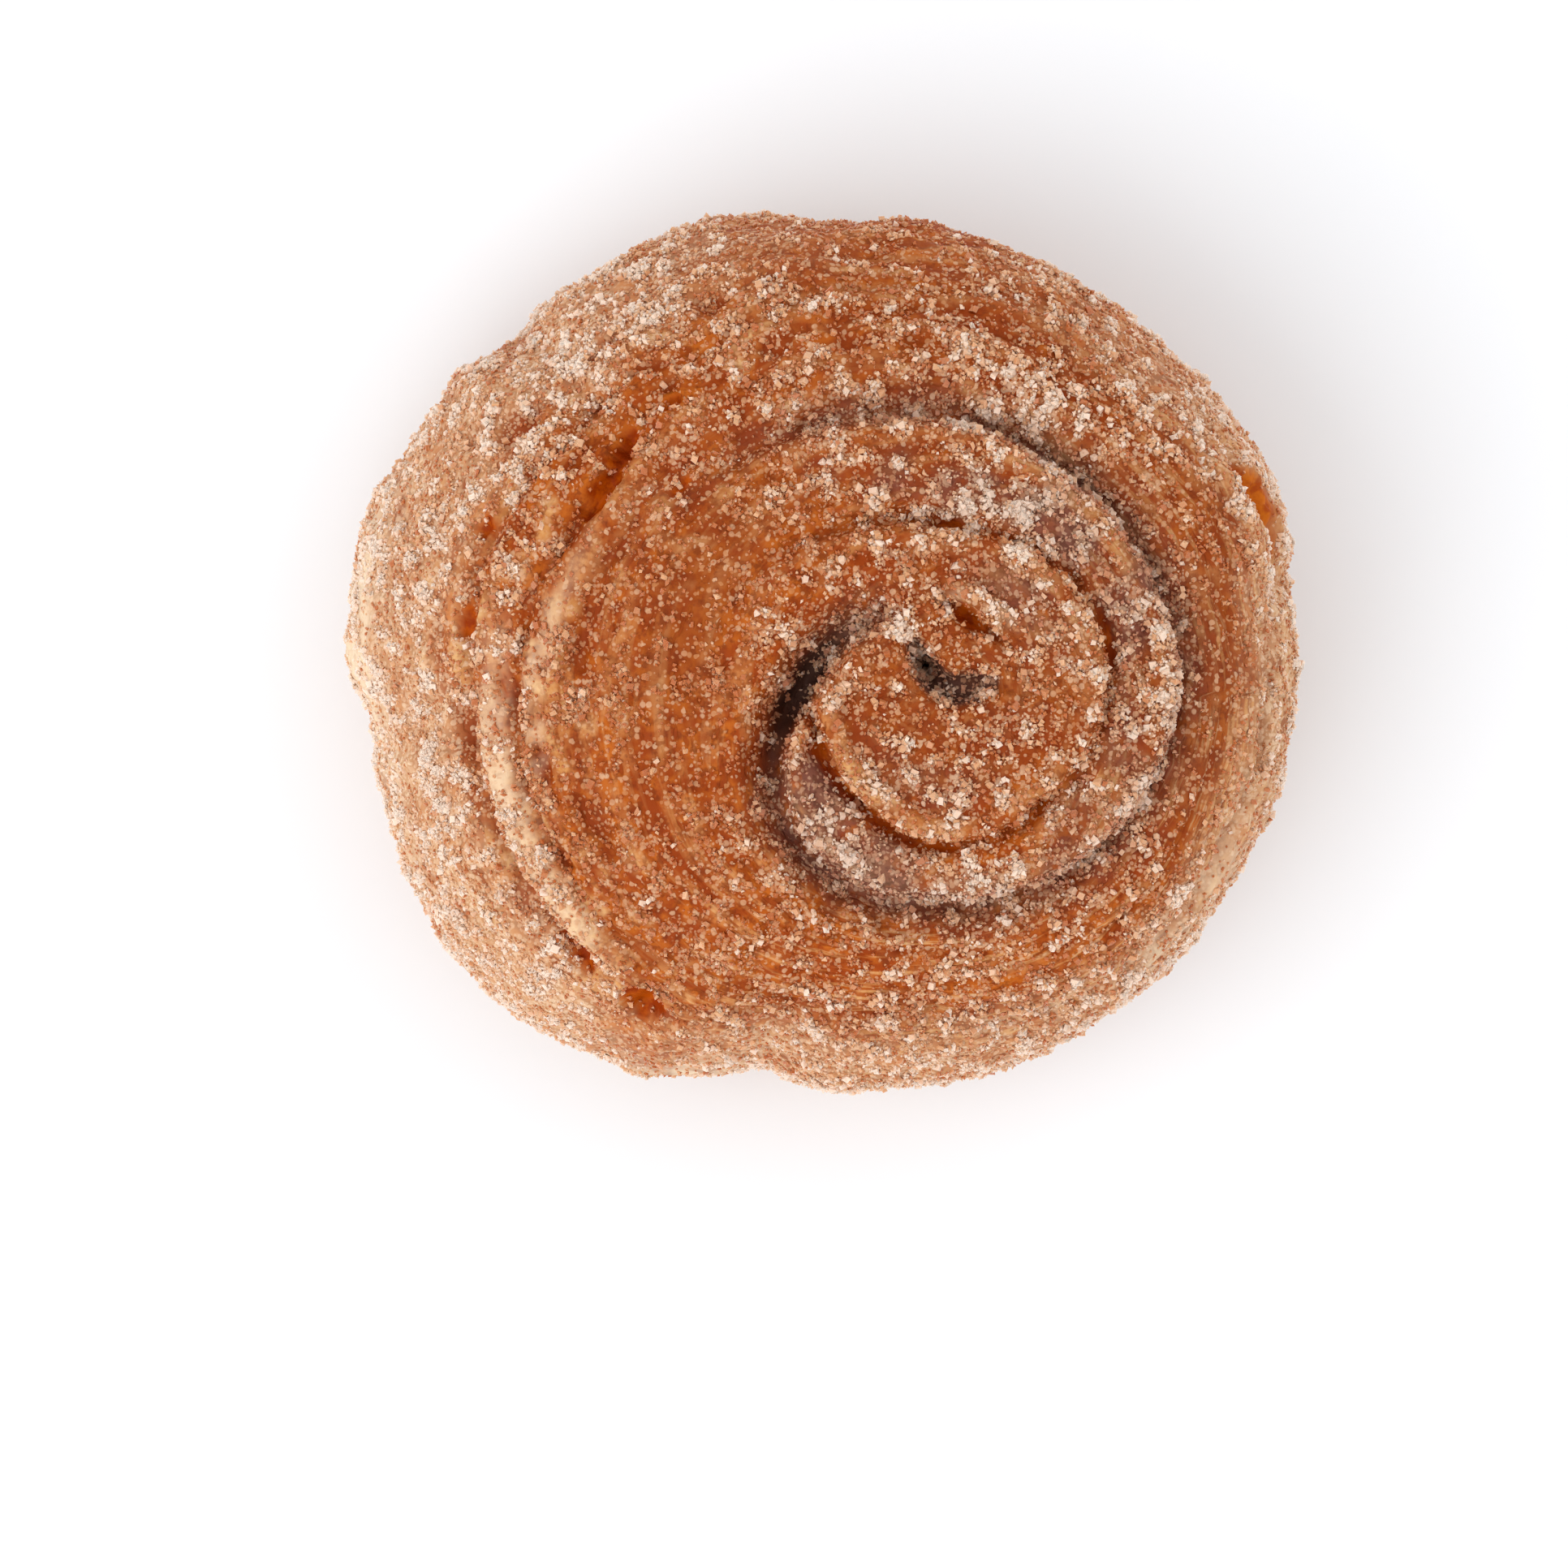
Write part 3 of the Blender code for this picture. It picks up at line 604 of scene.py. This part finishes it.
# Fine lines of the folded layers, and cinnamon smeared over the second turn and near the swirl
lined = 0.3 + facing(bearing, 0, 60) * ease(radius, 17, 20) + facing(bearing, 285, 45) * ease(radius, 24, 28)
lined = lined * (1 - ease(down, 0.0, 0.1))
SMEARS = ((255, 35, 8.0, 5.0, 1.5, 0.45), (270, 22, 20.0, 3.4, 1.0, 0.5), (52, 24, 12.6, 4.0, 1.0, 0.75))
SMEAR_UNDER_HEAPS = (60, 50, 20.5, 8.5, 1.5, 0.65)
smeared = 0.5 * second_turn * ease(stain_patches, -0.1, 0.3) + patches(SMEARS)
under_heaps = patches((SMEAR_UNDER_HEAPS,)) * ease(stain_patches, -0.4, 0.1)
smeared = smeared + under_heaps * (1 - 0.6 * np.clip(heaps, 0, 1))

crust_looks = {
    # The deep gap and the pit: cinnamon there, darkened more with depth as painted shade
    "hollow_shade": np.maximum(ease(looks["depth"], 4.5, 9.5), 0.75 * ease(looks["pit"], 1.2, 3.0)),
    "filling": np.clip(near_filling + 0.9 * roll_end + ease(looks["pit"], 0.6, 2.4) + smeared, 0, 1),
    "golden": golden,
    "frosted": frosted,
    "pale_edge": pale_edge,
    "amber": amber,
    "cracked": cracked,
    "baked_and_shaded": np.clip(baked_and_shaded, 0, 1),
    "bare": bare,
    "toasted": ease(down, 0.86, 1.0),
    "layers": np.clip(0.5 + 0.5 * looks["layers"], 0, 1),
    "lined": np.clip(lined, 0, 1),
}

# How much sugar sticks, everywhere and then in clumps: wavelength and strength of each size of clump
CLUMPS = ((4.5, 0.45), (2.3, 1.1), (1.25, 1.0))
clumps = sum(strength * unevenness(crust_mm, wave, 31.0) for wave, strength in CLUMPS) * (1 - 0.2 * frosted)
sugar = 0.38 + 0.72 * heaps + 0.46 * frosted - 0.26 * band + 0.12 * golden - 0.38 * thin_sugar
sugar = sugar - 0.22 * roll_end - 0.1 * pale_edge - 0.6 * amber - 0.5 * cracked - 0.5 * plain_side
sugar = sugar - 0.15 * facing(bearing, 97, 26) * ease(share, 0.8, 0.9)
sugar = sugar + patches(((262, 25, 28.0, 8.0, 2.0, 0.08), (152, 12, 42.0, 3.6, 0.45, -0.35)))
uncovered = (1 - bare) * (1 - 0.45 * crust_looks["hollow_shade"]) * ease(crust_mm[:, 2], 0.9, 2.4)
sugar = np.clip(sugar, 0.05, 1.6) * (1 - 0.9 * amber) * (1 - 0.35 * ease(down, 0.0, 0.2)) * uncovered
crust_looks["sugar"] = np.clip(sugar * np.clip(0.60 + 1.8 * clumps, 0.05, 1.8), 0, 1)
for name, values in crust_looks.items():
    layer = mesh.attributes.new(name, "FLOAT", "POINT")
    layer.data.foreach_set("value", values.astype(np.float32))
strip = np.stack([looks["wound"], LAYER_STRETCH * np.cos(turn), LAYER_STRETCH * np.sin(turn)], axis=-1)
layer = mesh.attributes.new("strip", "FLOAT_VECTOR", "POINT")
layer.data.foreach_set("vector", strip.astype(np.float32).ravel())


def tint(red, green, blue):
    """A colour as it looks on a screen, 0 to 255, made linear for the shader."""
    parts = [value / 255 for value in (red, green, blue)]
    linear = [part / 12.92 if part <= 0.04045 else ((part + 0.055) / 1.055) ** 2.4 for part in parts]
    return (*linear, 1.0)


class Finish:
    """A material's nodes, placed and joined with few words."""

    def __init__(self, tree):
        self.tree = tree
        self.count = 0

    def node(self, kind, inputs=None, **settings):
        """A new node. Its settings come first, since some of them bring its sockets."""
        node = self.tree.nodes.new(kind)
        node.location = (220 * (self.count % 8), -260 * (self.count // 8))
        self.count += 1
        for name, value in settings.items():
            setattr(node, name, value)
        for name, value in (inputs or {}).items():
            self.feed(node.inputs[name], value)
        return node

    def feed(self, socket, value):
        if isinstance(value, bpy.types.NodeSocket):
            self.tree.links.new(value, socket)
        else:
            socket.default_value = value

    def use(self, tree, **inputs):
        """The outputs of a shader group."""
        return self.node("ShaderNodeGroup", inputs, node_tree=tree).outputs

    def look(self, name, output="Fac"):
        """One of the looks stored at a mesh's points."""
        return self.node("ShaderNodeAttribute", attribute_name=name).outputs[output]

    def math(self, operation, first, second, clamp=False):
        node = self.node("ShaderNodeMath", {0: first, 1: second}, operation=operation, use_clamp=clamp)
        return node.outputs[0]

    def plus(self, first, second, clamp=False):
        return self.math("ADD", first, second, clamp)

    def minus(self, first, second):
        return self.math("SUBTRACT", first, second)

    def times(self, first, second, clamp=False):
        return self.math("MULTIPLY", first, second, clamp)

    def total(self, start, shares):
        """A number with shares of some looks added to it."""
        for name, share in shares.items():
            start = self.plus(start, self.times(self.look(name), share))
        return start

    def mix(self, amount, first, second):
        node = self.node("ShaderNodeMix", data_type="RGBA")
        for place, value in ((0, amount), (6, first), (7, second)):
            self.feed(node.inputs[place], value)
        return node.outputs[2]

    def cover(self, color, name, strength, over):
        """A colour with another laid over it where the crust has a look."""
        return self.mix(self.times(self.look(name), strength), color, over)

    def place(self):
        return self.node("ShaderNodeTexCoord").outputs["Object"]

    def cloud(self, scale, detail=3.0, roughness=0.55, place=None):
        node = self.node("ShaderNodeTexNoise", {"Scale": scale, "Detail": detail, "Roughness": roughness})
        if place is not None:
            self.feed(node.inputs["Vector"], place)
        return node.outputs["Fac"]

    def step(self, value, low, high):
        inputs = {"Value": value, "From Min": low, "From Max": high}
        return self.node("ShaderNodeMapRange", inputs, interpolation_type="SMOOTHSTEP").outputs["Result"]


def group(name, inputs, outputs):
    """An empty shader node group with named numbers and colours in and out."""
    tree = bpy.data.node_groups.new(name, "ShaderNodeTree")
    for label, kind, value in inputs:
        socket = tree.interface.new_socket(label, in_out="INPUT", socket_type=kind)
        if value is not None:
            socket.default_value = value
    for label, kind in outputs:
        tree.interface.new_socket(label, in_out="OUTPUT", socket_type=kind)
    return tree


def crust_mottling():
    """Browning of buttery dough: blotches of two browns, with small dark caramelised spots."""
    tree = group(
        "crust_mottling",
        (("Pale", "NodeSocketColor", (0.5, 0.3, 0.1, 1)), ("Brown", "NodeSocketColor", (0.3, 0.1, 0.03, 1)),
         ("Dark", "NodeSocketColor", (0.2, 0.05, 0.01, 1)), ("Place", "NodeSocketVector", None)),
        (("Color", "NodeSocketColor"), ("Blotches", "NodeSocketFloat")),
    )
    make = Finish(tree)
    given = make.node("NodeGroupInput").outputs
    wide = make.cloud(150.0, 3.0, 0.6, given["Place"])
    fine = make.cloud(560.0, 3.0, 0.6, given["Place"])
    browned = make.step(make.plus(make.times(wide, 0.5), make.times(fine, 0.5)), 0.40, 0.58)
    color = make.mix(browned, given["Pale"], given["Brown"])
    spots = make.step(make.cloud(700.0, 3.0, 0.65, given["Place"]), 0.49, 0.64)
    color = make.mix(make.times(spots, 0.60), color, given["Dark"])
    make.node("NodeGroupOutput", {"Color": color, "Blotches": browned})
    return tree


def layer_lines():
    """Thin pale edges of the folded layers, and short dark cracks between them, along the strip."""
    tree = group(
        "layer_lines",
        (("Strip", "NodeSocketVector", None),),
        (("Pale", "NodeSocketFloat"), ("Cracks", "NodeSocketFloat"), ("Height", "NodeSocketFloat")),
    )
    make = Finish(tree)
    strip = make.node("NodeGroupInput").outputs["Strip"]
    thin = make.node("ShaderNodeVectorMath", {0: strip, 1: (2.2, 1.3, 1.3)}, operation="MULTIPLY").outputs[0]
    short = make.node("ShaderNodeVectorMath", {0: strip, 1: (1.4, 3.2, 3.2)}, operation="MULTIPLY").outputs[0]
    lines = make.cloud(1.0, 2.0, 0.5, thin)
    cracks = make.step(make.cloud(1.0, 2.0, 0.5, short), 0.60, 0.68)
    pale = make.step(lines, 0.54, 0.66)
    make.node("NodeGroupOutput", {"Pale": pale, "Cracks": cracks, "Height": make.minus(lines, cracks)})
    return tree


def sugar_grains():
    """The finest sugar. Each cell of the pattern is a place for one grain, taken or not."""
    tree = group(
        "sugar_grains",
        (("Amount", "NodeSocketFloat", 0.5), ("Fineness", "NodeSocketFloat", 2500.0),
         ("Place", "NodeSocketVector", None)),
        (("Mask", "NodeSocketFloat"), ("Tone", "NodeSocketFloat"), ("Height", "NodeSocketFloat")),
    )
    make = Finish(tree)
    given = make.node("NodeGroupInput").outputs
    cells = make.node("ShaderNodeTexVoronoi", {"Vector": given["Place"], "Scale": given["Fineness"]}).outputs
    chance = make.node("ShaderNodeSeparateColor", {"Color": cells["Color"]}).outputs
    taken = make.math("GREATER_THAN", make.plus(chance["Red"], given["Amount"]), 1.0)
    mask = make.times(taken, make.step(cells["Distance"], 0.66, 0.44))
    height = make.times(taken, make.minus(0.8, cells["Distance"]))
    make.node("NodeGroupOutput", {"Mask": mask, "Tone": chance["Green"], "Height": height})
    return tree


CARAMEL = tint(196, 102, 26)
CARAMEL_DEEP = tint(158, 64, 8)
CARAMEL_SPOT = tint(98, 34, 4)
GOLDEN_EDGE = tint(236, 190, 132)
GOLDEN_EDGE_DEEP = tint(216, 150, 84)
GOLDEN_EDGE_SPOT = tint(174, 98, 48)
# Brown of deeper baking, used also as painted shade on the top and right
BAKED_AND_SHADED_BROWN = tint(120, 50, 18)
FROSTED_DOUGH = tint(212, 168, 126)
PALE_DOUGH = tint(244, 221, 188)
TOASTED = tint(126, 62, 26)
CRACK = tint(142, 54, 8)
HONEY = tint(188, 84, 2)
HONEY_DEEP = tint(156, 56, 1)
AMBER = tint(198, 102, 10)
AMBER_DEEP = tint(168, 70, 4)
FILLING = tint(116, 74, 62)
# Dark cinnamon for the filling's specks, and painted shade for the deep gap and the pit
DARK_CINNAMON_AND_SHADE = tint(80, 52, 42)
DUST_TAN = tint(196, 128, 76)
DUST_WHITE = tint(238, 206, 172)
DUST_STAINED = tint(164, 132, 120)
# The two sizes of sugar dust: grains to a metre, and how well they cover
DUST_SIZES = ((2400.0, 0.50), (1500.0, 0.65))

mottling = crust_mottling()
layering = layer_lines()
fine_sugar = sugar_grains()

crust_finish = bpy.data.materials.new("sugared_crust")
crust_finish.use_nodes = True
make = Finish(crust_finish.node_tree)
shader = crust_finish.node_tree.nodes["Principled BSDF"]
place = make.place()

# Baked dough, with golden layer edges, cracks between them, browner places with painted shade on the top
# and right, and paler and toasted places
dough = make.use(mottling, Pale=CARAMEL, Brown=CARAMEL_DEEP, Dark=CARAMEL_SPOT, Place=place)
edges = make.use(mottling, Pale=GOLDEN_EDGE, Brown=GOLDEN_EDGE_DEEP, Dark=GOLDEN_EDGE_SPOT, Place=place)
patchy = make.cloud(260.0, 3.0, 0.6, place)
lines = make.use(layering, Strip=make.look("strip", "Vector"))
layered = make.times(make.times(lines["Pale"], make.look("lined")), 0.75)
cracks = make.times(lines["Cracks"], make.minus(0.85, make.look("golden")), clamp=True)
golden_mask = make.times(make.look("golden"), make.step(patchy, 0.30, 0.62))
golden_mask = make.plus(golden_mask, make.times(make.step(make.look("layers"), 0.55, 0.85), 0.3))
color = make.mix(make.plus(golden_mask, layered, clamp=True), dough["Color"], edges["Color"])
# Browner over the swirl's core and a patch of the band from deeper baking, and over the top and right as
# painted shade
color = make.cover(color, "baked_and_shaded", 0.55, BAKED_AND_SHADED_BROWN)
color = make.cover(color, "frosted", 0.80, FROSTED_DOUGH)
sunk = make.step(make.look("layers"), 0.46, 0.22)
sunk = make.times(sunk, make.minus(0.65, make.times(make.look("frosted"), 0.65)))
torn = make.math("MAXIMUM", make.look("cracked"), make.math("MAXIMUM", cracks, sunk))
color = make.mix(make.times(torn, 0.8), color, CRACK)
color = make.cover(color, "pale_edge", 0.85, PALE_DOUGH)
color = make.cover(color, "toasted", 0.8, TOASTED)

# Cinnamon filling with dark specks, painted shade darkening the deep gap and the pit over it, and bare dough
# with caramel streaks
stained = make.times(make.look("filling"), make.step(patchy, 0.26, 0.52))
specks = make.step(make.cloud(1000.0, 2.0, 0.6, place), 0.50, 0.60)
color = make.mix(make.times(stained, 0.85), color, make.mix(make.times(specks, 0.75), FILLING, DARK_CINNAMON_AND_SHADE))
# The deep gap and the pit darkened: painted shade over the cinnamon
color = make.mix(make.look("hollow_shade"), color, DARK_CINNAMON_AND_SHADE)
streaks = make.step(make.cloud(420.0, 3.0, 0.6, place), 0.42, 0.58)
color = make.mix(make.look("bare"), color, make.mix(streaks, HONEY, HONEY_DEEP))
color = make.mix(make.look("amber"), color, make.mix(streaks, AMBER, AMBER_DEEP))

# Sugar dust over all of it
amount = make.total(0.15, {"frosted": 0.36, "sugar": 0.70, "golden": 0.06, "pale_edge": 0.14})
amount = make.minus(amount, make.times(cracks, 0.15))
amount = make.total(amount, {"hollow_shade": -0.24, "filling": 0.12, "bare": -1.0, "amber": -1.0})
whiter = make.total(0.0, {"frosted": 0.8, "sugar": 1.0, "pale_edge": 0.6})
heights = []
for fineness, covering in DUST_SIZES:
    dust = make.use(fine_sugar, Amount=amount, Fineness=fineness, Place=place)
    dust_color = make.mix(make.times(make.plus(dust["Tone"], whiter), 0.55, clamp=True), DUST_TAN, DUST_WHITE)
    dust_color = make.cover(dust_color, "filling", 0.4, DUST_STAINED)
    color = make.mix(make.times(dust["Mask"], covering), color, dust_color)
    heights.append(dust["Height"])
make.feed(shader.inputs["Base Color"], color)
make.feed(shader.inputs["Roughness"], make.minus(0.60, make.times(dust["Mask"], 0.25)))
height = make.plus(make.times(heights[0], 0.5), heights[1])
height = make.plus(height, make.times(make.cloud(1100.0, 2.0, 0.5, place), 0.7))
height = make.plus(height, make.times(lines["Height"], 1.4))
relief = make.node("ShaderNodeBump", {"Strength": 0.5, "Distance": 0.0003, "Height": height})
make.feed(shader.inputs["Normal"], relief.outputs["Normal"])
shader.inputs["Specular IOR Level"].default_value = 0.1
mesh.materials.append(crust_finish)

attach(crust, "root")
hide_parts("morning_bun")


# Granulated sugar. The hot bun is rolled in sugar and cinnamon, and the crystals stick where the crust is
# buttery: thick along the second turn and on the flanks, thin on the broad band, and not on bare dough.

mesh.calc_loop_triangles()
triangle_corners = np.empty(len(mesh.loop_triangles) * 3, dtype=np.int32)
mesh.loop_triangles.foreach_get("vertices", triangle_corners)
triangle_corners = triangle_corners.reshape(-1, 3)
normals = np.empty(len(mesh.vertices) * 3)
mesh.vertices.foreach_get("normal", normals)
normals = normals.reshape(-1, 3)
corners = crust_points[triangle_corners]
face_area = np.linalg.norm(np.cross(corners[:, 1] - corners[:, 0], corners[:, 2] - corners[:, 0]), axis=1) / 2

# Where white grains stick, where the thin coat of brown ones does, and how white the grains are
stick = sugar * np.exp(1.0 * looks["layers"])
everywhere = (0.35 + 0.65 * sugar) * np.exp(0.8 * looks["layers"]) * (1 - amber) * uncovered
everywhere = everywhere * (1 - 0.55 * thin_sugar) * (1 - 0.3 * roll_end)
everywhere = everywhere * (1 - 0.8 * plain_side) * (1 - 0.2 * band)
whiteness = 0.10 + 0.48 * crust_looks["sugar"] + 0.25 * frosted - 0.32 * band + 0.25 * roll_end
whiteness = whiteness + 0.3 * plain_side + 0.28 * np.clip(heaps, 0, 1.4) - 0.20 * thin_sugar
whiteness = whiteness + 0.20 * np.clip(clumps, -1, 1) + 0.25 * pale_edge

CUBE = (
    np.array([(x, y, z) for x in (-1, 1) for y in (-1, 1) for z in (-1, 1)], dtype=float),
    ((0, 1, 3, 2), (4, 6, 7, 5), (0, 4, 5, 1), (2, 3, 7, 6), (0, 2, 6, 4), (1, 5, 7, 3)),
)
SPLINTER = (
    np.array([(1, 0, 0), (-1, 0, 0), (0, 1, 0), (0, -1, 0), (0, 0, 1), (0, 0, -1)], dtype=float),
    ((0, 2, 4), (2, 1, 4), (1, 3, 4), (3, 0, 4), (2, 0, 5), (1, 2, 5), (3, 1, 5), (0, 3, 5)),
)
# How a grain varies: its spread of sides, its corners' unevenness, and the spread of its tone
GRAIN_STRETCH = (0.65, 0.7)
GRAIN_ROUGHNESS = 0.22
TONE_SPREAD = 0.28


def random_turns(rng, count):
    """Rotations that point every way."""
    four = rng.normal(size=(count, 4))
    w, x, y, z = (four / np.linalg.norm(four, axis=1, keepdims=True)).T
    rows = (
        (1 - 2 * (y * y + z * z), 2 * (x * y - z * w), 2 * (x * z + y * w)),
        (2 * (x * y + z * w), 1 - 2 * (x * x + z * z), 2 * (y * z - x * w)),
        (2 * (x * z - y * w), 2 * (y * z + x * w), 1 - 2 * (x * x + y * y)),
    )
    return np.array(rows).transpose(2, 0, 1)


def sprinkle(name, count, sizes, likely, seed, form, piled, clumping, white):
    """One mesh of many grains on the crust. sizes are the smallest and largest width in mm."""
    rng = np.random.default_rng(seed)
    shape, shape_faces = form
    heaped = (likely * np.exp(clumping * clumps))[triangle_corners].mean(axis=1)
    weight = face_area * heaped
    chosen = np.searchsorted(np.cumsum(weight) / weight.sum(), rng.random(count))

    def here(values):
        """A look at each grain's place: the mean over its triangle's corners."""
        return values[triangle_corners[chosen]].mean(axis=1)

    shares = rng.dirichlet((1, 1, 1), count)
    spot = np.einsum("nk,nkc->nc", shares, corners[chosen])
    normal = np.einsum("nk,nkc->nc", shares, normals[triangle_corners[chosen]])
    size = MM / 2 * (sizes[0] + (sizes[1] - sizes[0]) * rng.random(count) ** 1.6)
    bedded = here(frosted)
    pile = piled * (1 - 0.4 * bedded) * rng.random(count) * np.clip(heaped[chosen], 0, 2.5)
    lift = size * (0.25 - 0.2 * bedded + pile)
    size = size * (1 - 0.12 * bedded)
    stretch = GRAIN_STRETCH[0] + GRAIN_STRETCH[1] * rng.random((count, 1, 3))
    jitter = 1 + GRAIN_ROUGHNESS * rng.normal(size=(count, len(shape), 1))
    local = shape[None] * jitter * stretch * size[:, None, None]
    turned = np.einsum("nij,nkj->nki", random_turns(rng, count), local)
    verts = turned + (spot + normal * lift[:, None])[:, None, :]
    offsets = (np.arange(count) * len(shape))[:, None, None]
    faces = (np.array(shape_faces)[None] + offsets).reshape(-1, len(shape_faces[0]))

    grains_mesh = bpy.data.meshes.new(name)
    grains_mesh.from_pydata(verts.reshape(-1, 3).tolist(), [], faces.tolist())
    tone = here(whiteness) + white + (TONE_SPREAD - 0.1 * bedded) * rng.normal(size=count)
    for look, values in (("tone", tone), ("stain", here(crust_looks["filling"]))):
        values = np.repeat(np.clip(values, 0, 1), len(shape)).astype(np.float32)
        grains_mesh.attributes.new(look, "FLOAT", "POINT").data.foreach_set("value", values)
    grains = bpy.data.objects.new(name, grains_mesh)
    bpy.context.scene.collection.objects.link(grains)
    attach(grains, "root")
    return grains


CRYSTAL_AMBER = tint(183, 96, 41)
CRYSTAL_TAN = tint(219, 166, 122)
CRYSTAL_WHITE = tint(243, 219, 200)
CRYSTAL_STAINED = tint(186, 162, 150)

crystal_finish = bpy.data.materials.new("sugar_crystal")
crystal_finish.use_nodes = True
make = Finish(crystal_finish.node_tree)
shader = crystal_finish.node_tree.nodes["Principled BSDF"]
tone = make.look("tone")
color = make.mix(make.step(tone, 0.0, 0.5), CRYSTAL_AMBER, CRYSTAL_TAN)
color = make.mix(make.step(tone, 0.45, 1.0), color, CRYSTAL_WHITE)
color = make.cover(color, "stain", 0.38, CRYSTAL_STAINED)
cloudy = make.cloud(3200.0, 2.0, 0.5, make.place())
make.feed(shader.inputs["Base Color"], make.mix(make.times(cloudy, 0.25), color, CRYSTAL_TAN))
make.feed(shader.inputs["Roughness"], make.plus(0.16, make.times(cloudy, 0.25)))
shader.inputs["IOR"].default_value = 1.55
shader.inputs["Specular IOR Level"].default_value = 0.35
shader.inputs["Subsurface Weight"].default_value = 0.6
shader.inputs["Subsurface Radius"].default_value = (0.8, 0.9, 1.0)
shader.inputs["Subsurface Scale"].default_value = 0.0004

# Each kind's number of grains, their widths, where they stick, the seed of their draw, their form, how high
# they pile up, how closely they gather in clumps, and how much whiter they are
sugars = (
    sprinkle("sugar_crystals", 15500, (0.38, 0.62), stick, 1, CUBE, 0.7, 3.0, 0.14),
    sprinkle("broken_sugar_crystals", 24500, (0.38, 0.68), stick, 2, SPLINTER, 0.8, 2.8, 0.06),
    sprinkle("sugar_and_cinnamon", 24500, (0.38, 0.66), everywhere, 3, SPLINTER, 0.4, 0.9, -0.18),
    sprinkle("sugar_grit", 24500, (0.34, 0.54), stick, 4, SPLINTER, 0.9, 1.8, 0.04),
)
for piece in sugars:
    piece.data.materials.append(crystal_finish)


# The floor, the light and the camera: a plain pale floor, a broad soft light from the lower left of the
# picture with a weaker one opposite, and the camera straight above.

FLOOR_SIZE = 3.0
FLOOR_GAP = 0.0002
FLOOR_COLORS = (tint(247, 249, 252), tint(243, 246, 250))
half = FLOOR_SIZE / 2
floor_mesh = bpy.data.meshes.new("floor")
floor_corners = [(-half, -half, 0), (half, -half, 0), (half, half, 0), (-half, half, 0)]
floor_mesh.from_pydata(floor_corners, [], [(0, 1, 2, 3)])
floor = bpy.data.objects.new("floor", floor_mesh)
bpy.context.scene.collection.objects.link(floor)
floor.location.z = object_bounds()[0][2] - FLOOR_GAP
floor_finish = bpy.data.materials.new("pale_floor")
floor_finish.use_nodes = True
make = Finish(floor_finish.node_tree)
shader = floor_finish.node_tree.nodes["Principled BSDF"]
make.feed(shader.inputs["Base Color"], make.mix(make.cloud(9.0, 2.0, 0.5, make.place()), *FLOOR_COLORS))
shader.inputs["Roughness"].default_value = 0.8
floor_mesh.materials.append(floor_finish)

LIGHT_DISTANCE = 1.2
LIGHT_SIZE = 1.1
LIGHTS = {"window_light": ((-0.60, -0.43, 0.88), 6.8), "fill_light": ((0.80, 0.35, 0.70), 2.2)}
for name, (direction, power) in LIGHTS.items():
    light = bpy.data.lights.new(name, "AREA")
    light.energy = power
    light.size = LIGHT_SIZE
    lamp = bpy.data.objects.new(name, light)
    towards_light = Vector(direction).normalized()
    lamp.location = towards_light * LIGHT_DISTANCE
    lamp.rotation_euler = towards_light.to_track_quat("Z", "Y").to_euler()
    bpy.context.scene.collection.objects.link(lamp)

STUDIO_BRIGHTNESS = 0.86
world = bpy.data.worlds.new("studio")
world.use_nodes = True
world.node_tree.nodes["Background"].inputs["Color"].default_value = (1, 1, 1, 1)
world.node_tree.nodes["Background"].inputs["Strength"].default_value = STUDIO_BRIGHTNESS
bpy.context.scene.world = world
bpy.context.scene.view_settings.view_transform = "Standard"

CAMERA_HEIGHT = 2.0
FRAME_MIDDLE = (-0.0042, -0.0150)
LENS = 398.5
SENSOR_WIDTH = 36
camera_data = bpy.data.cameras.new("camera")
camera_data.lens = LENS
camera_data.sensor_width = SENSOR_WIDTH
camera = bpy.data.objects.new("camera", camera_data)
camera.location = (*FRAME_MIDDLE, CAMERA_HEIGHT)
bpy.context.scene.collection.objects.link(camera)
bpy.context.scene.camera = camera
